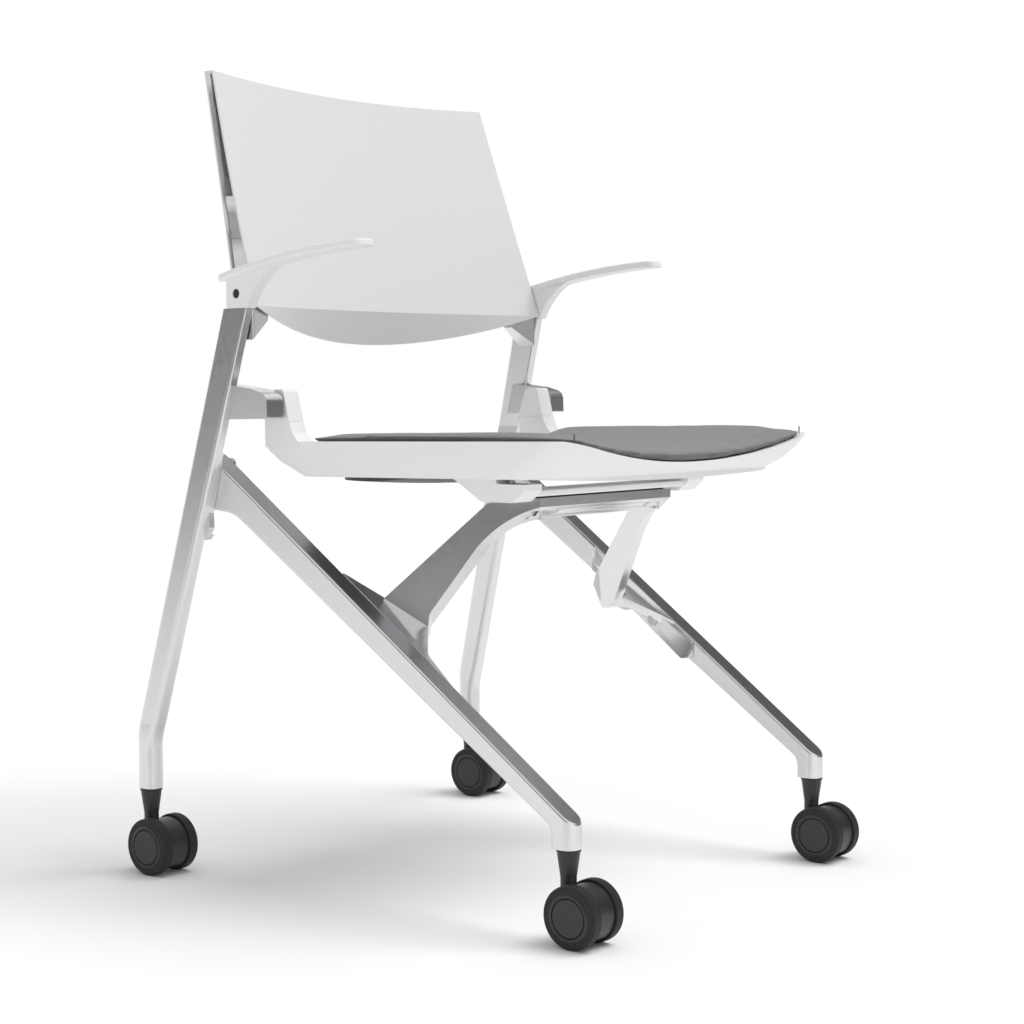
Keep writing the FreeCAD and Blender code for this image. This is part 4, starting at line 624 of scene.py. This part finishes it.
def drawn_up(levels: list[list[Vector]]) -> bmesh.types.BMesh:
    """Extrude a flat outline from level to level, moving its corners at each one.

    Args:
        levels: the outline's corners at each level, in the same order.

    Returns:
        The closed form.
    """
    form = bmesh.new()
    face = form.faces.new([form.verts.new(place) for place in levels[0]])
    before = levels[0]
    for place, level in enumerate(levels[1:]):
        raised = bmesh.ops.extrude_face_region(form, geom=[face], use_keep_orig=place == 0)["geom"]
        face = next(item for item in raised if isinstance(item, bmesh.types.BMFace))
        for vert in face.verts:
            corner = min(range(len(before)), key=lambda index: (vert.co - before[index]).length)
            vert.co = level[corner]
        before = level
    bmesh.ops.recalc_face_normals(form, faces=form.faces)
    return form


def bevelled(form: bmesh.types.BMesh, edges: list[bmesh.types.BMEdge], width: float, steps: int) -> None:
    """Round edges of a form.

    Args:
        form: the form, changed in place.
        edges: the edges to round.
        width: how far the rounding reaches.
        steps: how many faces make it.
    """
    bmesh.ops.bevel(form, geom=edges, offset=width, segments=steps, affect="EDGES", profile=0.5, material=-1)


def soften_by_angle(piece: bpy.types.Object, degrees: float = 25.0) -> None:
    """Shade gentle joins smooth and keep the sharp ones sharp.

    Args:
        piece: the piece, changed in place.
        degrees: the angle past which a join stays sharp.
    """
    piece.data.set_sharp_from_angle(angle=math.radians(degrees))


def placed(piece: bpy.types.Object, body: str) -> None:
    """Let a piece ride on a body and log its face count and that body.

    Args:
        piece: the piece.
        body: the name of the body that it moves with.
    """
    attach(piece, body)
    LOG.info("%s: %d faces, rides on %s", piece.name, len(piece.data.polygons), body)


@dataclass
class Fitter:
    """What every class that dresses or adds pieces works with: the carried-over nodes and the finishes."""

    nodes: dict[str, bpy.types.Object]
    palette: Palette


@dataclass
class Cushion(Fitter):
    """The dished seat cushion: a stuffed cloth form with a seam at each front corner of its band."""

    voxel: float = 0.005
    pressure: float = 4.0
    frames: int = 20
    cloth_quality: int = 4
    cloth_mass: float = 0.2
    stretch_stiffness: float = 20.0
    bending_stiffness: float = 2.0
    swell: float = 0.0035
    shrink: float = 0.0012
    lower_swell: float = 0.8
    upward_from: float = 0.2
    smoothings: int = 6
    smoothing: float = 0.5
    rounding: float = 0.6
    rear_reach: float = 0.0095
    seam_size: tuple[float, float, float] = (0.0012, 0.0011, 0.0080)
    seam_place: tuple[float, float, float] = (0.2030, -0.2352, 0.4690)
    seam_bevel: float = 0.0003
    seam_turn: float = 50.0

    def _blank(self, source: bpy.types.Object) -> bpy.types.Object:
        """Copy the solid cushion, merged and a little smaller, and remesh it evenly.

        Args:
            source: the carried-over cushion node.

        Returns:
            The blank for the simulation.
        """
        form = merged_copy(source)
        form.normal_update()
        low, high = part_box("seat_pad")
        middle = (low.y + high.y) / 2.0
        for vert in form.verts:
            vert.co -= vert.normal * self.shrink
            share = max(0.0, (vert.co.y - middle) / (high.y - middle))
            vert.co.y += self.rear_reach * share * share
        blank = linked("seat_cushion", form)
        remesh = blank.modifiers.new("even", "REMESH")
        remesh.mode = "VOXEL"
        remesh.voxel_size = self.voxel
        self._apply(blank)
        return blank

    @staticmethod
    def _apply(piece: bpy.types.Object) -> None:
        """Bake a piece's live modifiers into its mesh.

        Args:
            piece: the piece, changed in place.
        """
        graph = bpy.context.evaluated_depsgraph_get()
        mesh = bpy.data.meshes.new_from_object(piece.evaluated_get(graph))
        piece.modifiers.clear()
        piece.data = mesh

    def _inflate(self, blank: bpy.types.Object) -> None:
        """Swell the blank with cloth pressure and cap how far each point moves.

        Args:
            blank: the remeshed cushion, changed in place.
        """
        start = [vert.co.copy() for vert in blank.data.vertices]
        cloth = blank.modifiers.new("stuffing", "CLOTH")
        settings = cloth.settings
        settings.quality = self.cloth_quality
        settings.mass = self.cloth_mass
        settings.tension_stiffness = self.stretch_stiffness
        settings.compression_stiffness = self.stretch_stiffness
        settings.bending_stiffness = self.bending_stiffness
        settings.use_pressure = True
        settings.uniform_pressure_force = self.pressure
        settings.effector_weights.gravity = 0.0
        cloth.point_cache.frame_start = 1
        cloth.point_cache.frame_end = self.frames
        scene = bpy.context.scene
        for frame in range(1, self.frames + 1):
            scene.frame_set(frame)
        graph = bpy.context.evaluated_depsgraph_get()
        swollen = blank.evaluated_get(graph).to_mesh()
        ends = [vert.co.copy() for vert in swollen.vertices]
        blank.modifiers.clear()
        scene.frame_set(1)
        normals = [vert.normal.copy() for vert in blank.data.vertices]
        for vert, first, last, normal in zip(blank.data.vertices, start, ends, normals):
            move = last - first
            limit = self.swell if normal.z > self.upward_from else self.shrink * self.lower_swell
            if move.length > limit:
                move *= limit / move.length
            vert.co = first + move

    def _soften(self, piece: bpy.types.Object) -> None:
        """Smooth the stepped remesh and round the cushion's rim.

        Args:
            piece: the cushion, changed in place.
        """
        form = bmesh.new()
        form.from_mesh(piece.data)
        for _ in range(self.smoothings):
            bmesh.ops.smooth_vert(form, verts=form.verts, factor=self.smoothing, use_axis_x=True,
                                  use_axis_y=True, use_axis_z=True)
        bmesh.ops.subdivide_edges(form, edges=form.edges, cuts=1, use_grid_fill=True, smooth=self.rounding)
        form.to_mesh(piece.data)
        form.free()
        for face in piece.data.polygons:
            face.use_smooth = True

    def _band_seams(self) -> None:
        """Upright seams of the cushion's band at its two front corners."""
        for side in Side:
            form = bmesh.new()
            bmesh.ops.create_cube(form, size=1.0, matrix=Matrix.Identity(4))
            bmesh.ops.scale(form, verts=form.verts, vec=self.seam_size)
            bevelled(form, form.edges[:], self.seam_bevel, 2)
            turn = Matrix.Rotation(side.value * math.radians(-self.seam_turn), 3, "Z")
            bmesh.ops.rotate(form, verts=form.verts, cent=(0, 0, 0), matrix=turn)
            out, along, up = self.seam_place
            bmesh.ops.translate(form, verts=form.verts, vec=(side.value * out, along, up))
            piece = new_piece(f"cushion_band_seam_{side.label}", form, self.palette.thread)
            placed(piece, Body.SEAT.value)

    def build(self) -> None:
        """Make the cushion in place of its plain solid."""
        piece = self._blank(self.nodes["seat_pad"])
        self._inflate(piece)
        self._soften(piece)
        piece.data.materials.clear()
        piece.data.materials.append(self.palette.cloth)
        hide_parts("seat_pad")
        placed(piece, Body.SEAT.value)
        self._band_seams()


@dataclass
class Castings(Fitter):
    """Uprights, front legs, bridge and brackets, with the places of the bridge that are drawn in."""

    foot_face_x: float = 0.2040
    foot_face_reach: float = 0.0006
    foot_rear_y: float = 0.0405
    foot_bolt: tuple[float, float] = (0.0352, 0.3051)
    foot_bolt_seat: float = 0.0075
    foot_rear_out: float = 0.0085
    foot_front_y: float = -0.0850
    foot_front_out: float = 0.0070
    flare_heel: tuple[float, float] = (0.1847, 0.0235)
    flare_heel_move: tuple[float, float, float] = (0.0063, -0.0138, -0.0099)
    flare_reach: float = 0.0015
    stem_place: tuple[float, float] = (0.2220, -0.2438)
    plug_radius: float = 0.0058
    plug_low: float = 0.1120
    plug_height: float = 0.0300
    plug_raise: float = 0.0100
    rim_reach: float = 0.0062

    def _plug(self, side: Side) -> None:
        """Flush plug that closes the stem's bore in the top of a front leg.

        Args:
            side: the side of the chair.
        """
        axis = Vector((side.value * self.stem_place[0], self.stem_place[1], 0.0))
        corners = [vert.co for vert in self.nodes[f"front_leg_{side.label}"].data.vertices]
        rim = [co for co in corners
               if co.z > self.plug_low and math.hypot(co.x - axis.x, co.y - axis.y) < self.rim_reach]
        if not rim:
            LOG.info("front leg %s: no bore in its top", side.label)
            return
        lowest = min(rim, key=lambda co: co.z)
        highest = max(rim, key=lambda co: co.z)
        normal = Vector((1.0, 0.0, 0.0)).cross(highest - lowest)
        if normal.z < 0.0:
            normal.negate()
        form = bmesh.new()
        bmesh.ops.create_cone(form, cap_ends=True, segments=32, radius1=self.plug_radius,
                              radius2=self.plug_radius, depth=self.plug_height)
        bmesh.ops.translate(form, verts=form.verts, vec=(axis.x, axis.y, self.plug_low + self.plug_raise))
        cut = bmesh.ops.bisect_plane(form, geom=form.verts[:] + form.edges[:] + form.faces[:],
                                     plane_co=(lowest + highest) / 2.0, plane_no=normal.normalized(),
                                     clear_outer=True)["geom_cut"]
        rims = [item for item in cut if isinstance(item, bmesh.types.BMEdge)]
        bmesh.ops.edgeloop_fill(form, edges=rims)
        # The plug takes the legs' finish, with its painted dark reflection on top.
        piece = new_piece(f"leg_bore_plug_{side.label}", form, self.palette.leg)
        soften_by_angle(piece)
        placed(piece, Body.FRAME.value)

    def _bridge(self) -> None:
        """Draw each foot and its flare in to the leg, on a copy of the bridge."""
        dress(self.nodes["bridge"], self.palette.cast)
        form = merged_copy(self.nodes["bridge"])
        for side in Side:
            heel = (side.value * self.flare_heel[0], self.flare_heel[1])
            at_heel = [vert for vert in form.verts
                       if math.hypot(vert.co.x - heel[0], vert.co.y - heel[1]) < self.flare_reach]
            on_face = [vert for vert in form.verts
                       if abs(vert.co.x * side.value - self.foot_face_x) < self.foot_face_reach]
            rear = [vert for vert in on_face if vert.co.y > self.foot_rear_y
                    and math.hypot(vert.co.y - self.foot_bolt[0],
                                   vert.co.z - self.foot_bolt[1]) > self.foot_bolt_seat]
            front = [vert for vert in on_face if vert.co.y < self.foot_front_y]
            out, along, up = self.flare_heel_move
            bmesh.ops.translate(form, verts=at_heel, vec=(side.value * out, along, up))
            bmesh.ops.translate(form, verts=rear, vec=(side.value * self.foot_rear_out, 0.0, 0.0))
            bmesh.ops.translate(form, verts=front, vec=(side.value * self.foot_front_out, 0.0, 0.0))
            LOG.info("foot %s: %d corners drawn in", side.label, len(at_heel) + len(rear) + len(front))
        piece = new_piece("cast_bridge", form, self.palette.cast)
        soften_by_angle(piece)
        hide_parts("bridge")
        placed(piece, Body.FRAME.value)

    def dress(self) -> None:
        """Give the castings their finish."""
        for side in Side:
            for part in ("upright", "back_bracket"):
                dress(self.nodes[f"{part}_{side.label}"], self.palette.cast)
            # The front legs' finish carries a painted dark reflection on their tops.
            dress(self.nodes[f"front_leg_{side.label}"], self.palette.leg)
            self._plug(side)
        self._bridge()
        for part in ("leg_bolts", "bridge_foot_bolts", "beam_screws", "bracket_screws"):
            dress(self.nodes[part], self.palette.steel)
        # The strip on the beam's top is black, along the dark line under the seat carrier.
        dress(self.nodes["beam_rest_strip"], self.palette.rubber)


@dataclass
class Seat(Fitter):
    """Shell, carrier, caps and hidden pieces of the tip-up seat."""

    panel_back: float = 0.0120
    panel_middle_y: float = 0.0550
    panel_half_length: float = 0.0750
    panel_rise: float = 0.0065
    panel_end_share: float = 1.2
    panel_slices: int = 16

    def _panel(self) -> None:
        """Belly the underside panel towards its middle, on a copy of it."""
        dress(self.nodes["under_seat_panel"], self.palette.panel)
        low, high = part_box("under_seat_panel")
        form = merged_copy(self.nodes["under_seat_panel"])
        for index in range(1, self.panel_slices):
            place = low.y + (high.y - low.y) * index / self.panel_slices
            bmesh.ops.bisect_plane(form, geom=form.verts[:] + form.edges[:] + form.faces[:],
                                   plane_co=(0.0, place, 0.0), plane_no=(0.0, 1.0, 0.0))
        bmesh.ops.translate(form, verts=form.verts, vec=(0.0, self.panel_back, 0.0))
        for vert in form.verts:
            share = min(self.panel_end_share, abs(vert.co.y - self.panel_middle_y) / self.panel_half_length)
            vert.co.z += self.panel_rise * share * share
        piece = new_piece("seat_under_panel", form, self.palette.panel)
        soften_by_angle(piece)
        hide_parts("under_seat_panel")
        placed(piece, Body.SEAT.value)

    def dress(self) -> None:
        """Give the seat's pieces their finishes."""
        for part in ("seat_shell", "seat_carrier", "hinge_cap_right", "hinge_cap_left"):
            dress(self.nodes[part], self.palette.white)
        dress(self.nodes["seat_pad"], self.palette.cloth)
        dress(self.nodes["seat_board"], self.palette.ply)
        self._panel()
        dress(self.nodes["seat_screws"], self.palette.steel)
        for side in Side:
            dress(self.nodes[f"pivot_pin_{side.label}"], self.palette.steel)
            dress(self.nodes[f"pivot_bush_{side.label}"], self.palette.bearing)


@dataclass
class Back(Fitter):
    """Double-shell back and the two arms.

    The side levels are heights with the half width, the front face's place and the depth of the back there.
    """

    side_levels: tuple[tuple[float, float, float, float], ...] = (
        (0.8440, 0.2202, 0.2236, 0.0128),
        (0.8200, 0.2222, 0.2164, 0.0135),
        (0.7960, 0.2241, 0.2092, 0.0144),
        (0.7600, 0.2268, 0.1981, 0.0163),
        (0.7340, 0.2287, 0.1899, 0.0179),
        (0.7130, 0.2301, 0.1831, 0.0195),
        (0.6940, 0.2313, 0.1770, 0.0210),
        (0.6700, 0.2327, 0.1691, 0.0232),
        (0.6460, 0.2341, 0.1612, 0.0256),
        (0.6200, 0.2355, 0.1524, 0.0285),
        (0.6050, 0.2362, 0.1472, 0.0303),
    )
    skin: float = 0.0023
    strip_bevel: float = 0.0005
    sharp_turn: float = 1.0
    side_inset: float = 0.0002
    rear_inset: float = 0.0008
    front_inset: float = 0.0012
    edge_depth: float = 0.0070
    low_edge_depth: float = 0.0048
    flank_top: float = 0.7130
    flank_gap: float = 0.0058

    def _side_strip(self, name: str, side: Side, levels: list[tuple[float, float, float, float]]) -> None:
        """Thin upright strip along one side of the back.

        Args:
            name: the piece's name.
            side: the side of the chair.
            levels: heights with the outer face, the front and the rear of the strip there.
        """
        outlines = []
        for height, outer, front, rear in levels:
            inner = outer - self.skin
            outlines.append([Vector((side.value * outer, front, height)),
                             Vector((side.value * inner, front, height)),
                             Vector((side.value * inner, rear, height)),
                             Vector((side.value * outer, rear, height))])
        form = drawn_up(outlines)
        rims = [edge for edge in form.edges if edge.calc_face_angle(0.0) > self.sharp_turn]
        bevelled(form, rims, self.strip_bevel, 2)
        # The strips take the back's white, with its painted shade.
        piece = new_piece(f"{name}_{side.label}", form, self.palette.back)
        soften_by_angle(piece)
        placed(piece, Body.FRAME.value)

    def _sides(self) -> None:
        """Thick rear edges and, below the slot, the side returns of the front shell."""
        for side in Side:
            edge = []
            flank = []
            for height, half, front, depth in self.side_levels:
                outer = half - self.side_inset
                rear = front + depth
                thick = self.edge_depth if height > self.flank_top else self.low_edge_depth
                edge.append((height, outer, rear - thick, rear - self.rear_inset))
                if height <= self.flank_top:
                    flank.append((height, outer, front + self.front_inset, rear - self.flank_gap))
            self._side_strip("back_rear_edge", side, edge)
            self._side_strip("back_side_return", side, flank)

    def dress(self) -> None:
        """Give the back and arms their finishes; the back takes the darker white with painted shade."""
        for part in ("back_front_shell", "back_rear_shell"):
            dress(self.nodes[part], self.palette.back)
        for side in Side:
            dress(self.nodes[f"armrest_{side.label}"], self.palette.white)
        dress(self.nodes["back_screws"], self.palette.steel)
        dress(self.nodes["arm_screws"], self.palette.dark_steel)
        self._sides()


@dataclass
class Casters(Fitter):
    """The four twin-wheel casters."""

    ring_radius: float = 0.0185
    ring_width: float = 0.0011
    ring_height: float = 0.0005
    collar_radius: float = 0.0119
    collar_height: float = 0.0022
    collar_bevel: float = 0.0005
    neck_depth: float = 0.001
    front_stem_drop: float = 0.0120

    def _stems(self) -> None:
        """Stem rods, the front ones shortened to end inside their legs."""
        dress(self.nodes["caster_stems"], self.palette.steel)
        low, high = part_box("caster_stems")
        form = merged_copy(self.nodes["caster_stems"])
        tops = [vert for vert in form.verts if vert.co.y < 0.0 and vert.co.z > (low.z + high.z) / 2.0]
        bmesh.ops.translate(form, verts=tops, vec=(0.0, 0.0, -self.front_stem_drop))
        piece = new_piece("caster_stem_rods", form, self.palette.steel)
        soften_by_angle(piece)
        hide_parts("caster_stems")
        placed(piece, Body.FRAME.value)

    def _cap_ring(self, name: str) -> None:
        """Flat ring laid on the cap of one wheel.

        Args:
            name: caster and side, such as front_right_outer.
        """
        low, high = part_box("wheel_cap_" + name)
        wheel_low, wheel_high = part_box("wheel_" + name)
        outward = 1.0 if (low.x + high.x) > (wheel_low.x + wheel_high.x) else -1.0
        face_x = high.x if outward > 0 else low.x
        middle = (low + high) / 2.0
        form = bmesh.new()
        profile = bmesh.ops.create_circle(form, segments=10, radius=self.ring_width / 2.0)["verts"]
        bmesh.ops.scale(form, verts=profile, vec=(1.0, self.ring_height * 2.0 / self.ring_width, 1.0))
        bmesh.ops.rotate(form, verts=profile, cent=(0, 0, 0), matrix=Matrix.Rotation(math.pi / 2, 3, "Y"))
        bmesh.ops.rotate(form, verts=profile, cent=(0, 0, 0), matrix=Matrix.Rotation(math.pi / 2, 3, "X"))
        bmesh.ops.translate(form, verts=profile, vec=(face_x, middle.y, middle.z + self.ring_radius))
        bmesh.ops.spin(form, geom=form.verts[:] + form.edges[:], cent=(face_x, middle.y, middle.z),
                       axis=(1, 0, 0), angle=math.tau, steps=56, use_merge=True)
        piece = new_piece("cap_ring_" + name, form, self.palette.caster)
        placed(piece, "roller_" + name)

    def _collar(self, name: str) -> None:
        """Thin collar between the caster's neck and the leg.

        Args:
            name: the caster's name.
        """
        low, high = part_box("caster_body_" + name)
        middle_x = (low.x + high.x) / 2.0
        corners = [vert.co for vert in self.nodes["caster_body_" + name].data.vertices]
        neck = [corner for corner in corners if corner.z > high.z - self.neck_depth]
        middle_y = (min(c.y for c in neck) + max(c.y for c in neck)) / 2.0
        form = bmesh.new()
        bmesh.ops.create_cone(form, cap_ends=True, segments=48, radius1=self.collar_radius,
                              radius2=self.collar_radius, depth=self.collar_height)
        rims = [e for e in form.edges if abs(e.verts[0].co.z - e.verts[1].co.z) < 1e-6]
        bevelled(form, rims, self.collar_bevel, 3)
        bmesh.ops.translate(form, verts=form.verts,
                            vec=(middle_x, middle_y, high.z - self.collar_height / 2.0))
        piece = new_piece("neck_collar_" + name, form, self.palette.caster)
        placed(piece, "swivel_" + name)

    def build(self) -> None:
        """Dress the casters and add their rings and collars."""
        self._stems()
        for name in CASTERS:
            dress(self.nodes["caster_body_" + name], self.palette.caster)
            dress(self.nodes["caster_axle_" + name], self.palette.steel)
            self._collar(name)
            for place in ("outer", "inner"):
                dress(self.nodes[f"wheel_{name}_{place}"], self.palette.tread)
                dress(self.nodes[f"wheel_cap_{name}_{place}"], self.palette.caster)
                self._cap_ring(f"{name}_{place}")


@dataclass
class Studio:
    """White floor, pale surroundings, one soft sun, dark boards for the metal and the camera.

    Each board has its name, its two ends on the floor and its lower and upper edge.
    """

    camera_place: tuple[float, float, float] = (-1.7473, -1.3856, 0.5251)
    camera_turn: float = -51.6
    camera_pitch: float = 3.7
    lens: float = 73.0
    ambient: float = 0.62
    sun_from: tuple[float, float, float] = (0.31, -0.39, 0.87)
    sun_strength: float = 1.75
    sun_spread: float = 35.0
    floor_half: float = 14.0
    floor_level: float = 0.93
    board_level: float = 0.12
    boards: tuple[tuple[str, tuple[float, float], tuple[float, float], tuple[float, float]], ...] = (
        ("side_board", (-3.6, -3.0), (-3.6, 6.0), (0.35, 2.6)),
        ("front_board", (0.8, -3.4), (3.6, -0.6), (0.0, 2.0)),
        ("high_board", (2.6, -1.8), (2.6, 2.2), (1.1, 2.6)),
        ("near_board", (-1.75, 0.15), (-1.25, -1.3), (0.0, 1.1)),
    )

    def _world(self) -> None:
        """Pale surroundings that the camera and gloss see as white."""
        world = bpy.data.worlds.new("pale_room")
        bpy.context.scene.world = world
        world.use_nodes = True
        nodes, links = world.node_tree.nodes, world.node_tree.links
        nodes.clear()
        result = nodes.new("ShaderNodeOutputWorld")
        paths = nodes.new("ShaderNodeLightPath")
        seen = nodes.new("ShaderNodeBackground")
        socket_value(seen, "Color", grey(1.0))
        socket_value(seen, "Strength", 1.0)
        lit = nodes.new("ShaderNodeBackground")
        socket_value(lit, "Color", grey(1.0))
        socket_value(lit, "Strength", self.ambient)
        first = operator(nodes, "MAXIMUM")
        second = operator(nodes, "MAXIMUM")
        mix = nodes.new("ShaderNodeMixShader")
        links.new(paths.outputs["Is Camera Ray"], first.inputs[0])
        links.new(paths.outputs["Is Glossy Ray"], first.inputs[1])
        links.new(first.outputs[0], second.inputs[0])
        links.new(paths.outputs["Is Transmission Ray"], second.inputs[1])
        links.new(second.outputs[0], mix.inputs[0])
        links.new(lit.outputs[0], mix.inputs[1])
        links.new(seen.outputs[0], mix.inputs[2])
        links.new(mix.outputs[0], result.inputs["Surface"])

    def _floor(self) -> None:
        """Large white floor that keeps the chair's shadow."""
        form = bmesh.new()
        bmesh.ops.create_grid(form, x_segments=1, y_segments=1, size=self.floor_half)
        floor = linked("studio_floor", form)
        material, shader = new_material("white_floor")
        socket_value(shader, "Base Color", grey(self.floor_level))
        socket_value(shader, "Roughness", 0.9)
        socket_value(shader, "Specular IOR Level", 0.1)
        floor.data.materials.append(material)

    def _sun(self) -> None:
        """Very soft sun from the right of the view, whose shadow falls to its left."""
        light = bpy.data.lights.new("soft_sun", "SUN")
        light.energy = self.sun_strength
        light.angle = math.radians(self.sun_spread)
        lamp = bpy.data.objects.new("soft_sun", light)
        lamp.rotation_mode = "QUATERNION"
        lamp.rotation_quaternion = (-Vector(self.sun_from)).to_track_quat("-Z", "Y")
        lamp.visible_glossy = False
        bpy.context.scene.collection.objects.link(lamp)

    def _board(self, name: str, start: tuple[float, float], end: tuple[float, float],
               heights: tuple[float, float]) -> None:
        """Upright dark board that only gloss sees, so that the metal has something dark to mirror.

        Args:
            name: the board's name.
            start: one end on the floor, as x and y.
            end: the other end.
            heights: its lower and upper edge.
        """
        form = bmesh.new()
        low_start = form.verts.new((start[0], start[1], heights[0]))
        low_end = form.verts.new((end[0], end[1], heights[0]))
        edge = form.edges.new((low_start, low_end))
        raised = bmesh.ops.extrude_edge_only(form, edges=[edge])["geom"]
        bmesh.ops.translate(form, verts=[item for item in raised if isinstance(item, bmesh.types.BMVert)],
                            vec=(0.0, 0.0, heights[1] - heights[0]))
        board = linked(name, form)
        material, _ = new_material(name)
        nodes, links = material.node_tree.nodes, material.node_tree.links
        nodes.clear()
        glow = nodes.new("ShaderNodeEmission")
        socket_value(glow, "Color", grey(self.board_level))
        result = nodes.new("ShaderNodeOutputMaterial")
        links.new(glow.outputs[0], result.inputs["Surface"])
        board.data.materials.append(material)
        board.visible_camera = False
        board.visible_diffuse = False
        board.visible_shadow = False

    def _camera(self) -> None:
        """Camera at the place from which the reference view was taken."""
        data = bpy.data.cameras.new("view_camera")
        data.lens = self.lens
        data.sensor_width = 36.0
        camera = bpy.data.objects.new("view_camera", data)
        camera.location = self.camera_place
        camera.rotation_euler = (math.radians(90.0 - self.camera_pitch), 0.0,
                                 math.radians(self.camera_turn))
        bpy.context.scene.collection.objects.link(camera)
        bpy.context.scene.camera = camera

    def build(self) -> None:
        """Set up the surroundings, floor, sun, boards and camera."""
        bpy.context.scene.view_settings.view_transform = "Standard"
        self._world()
        self._floor()
        self._sun()
        for board in self.boards:
            self._board(*board)
        self._camera()


def main() -> None:
    """Build the studio, dress the frame and add the new pieces."""
    logging.basicConfig(level=logging.INFO, format="%(name)s %(message)s")
    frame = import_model()
    nodes = frame["nodes"]
    Studio().build()
    palette = Palette()
    Castings(nodes, palette).dress()
    Seat(nodes, palette).dress()
    Back(nodes, palette).dress()
    Casters(nodes, palette).build()
    Cushion(nodes, palette).build()


if __name__ == "__main__":
    main()
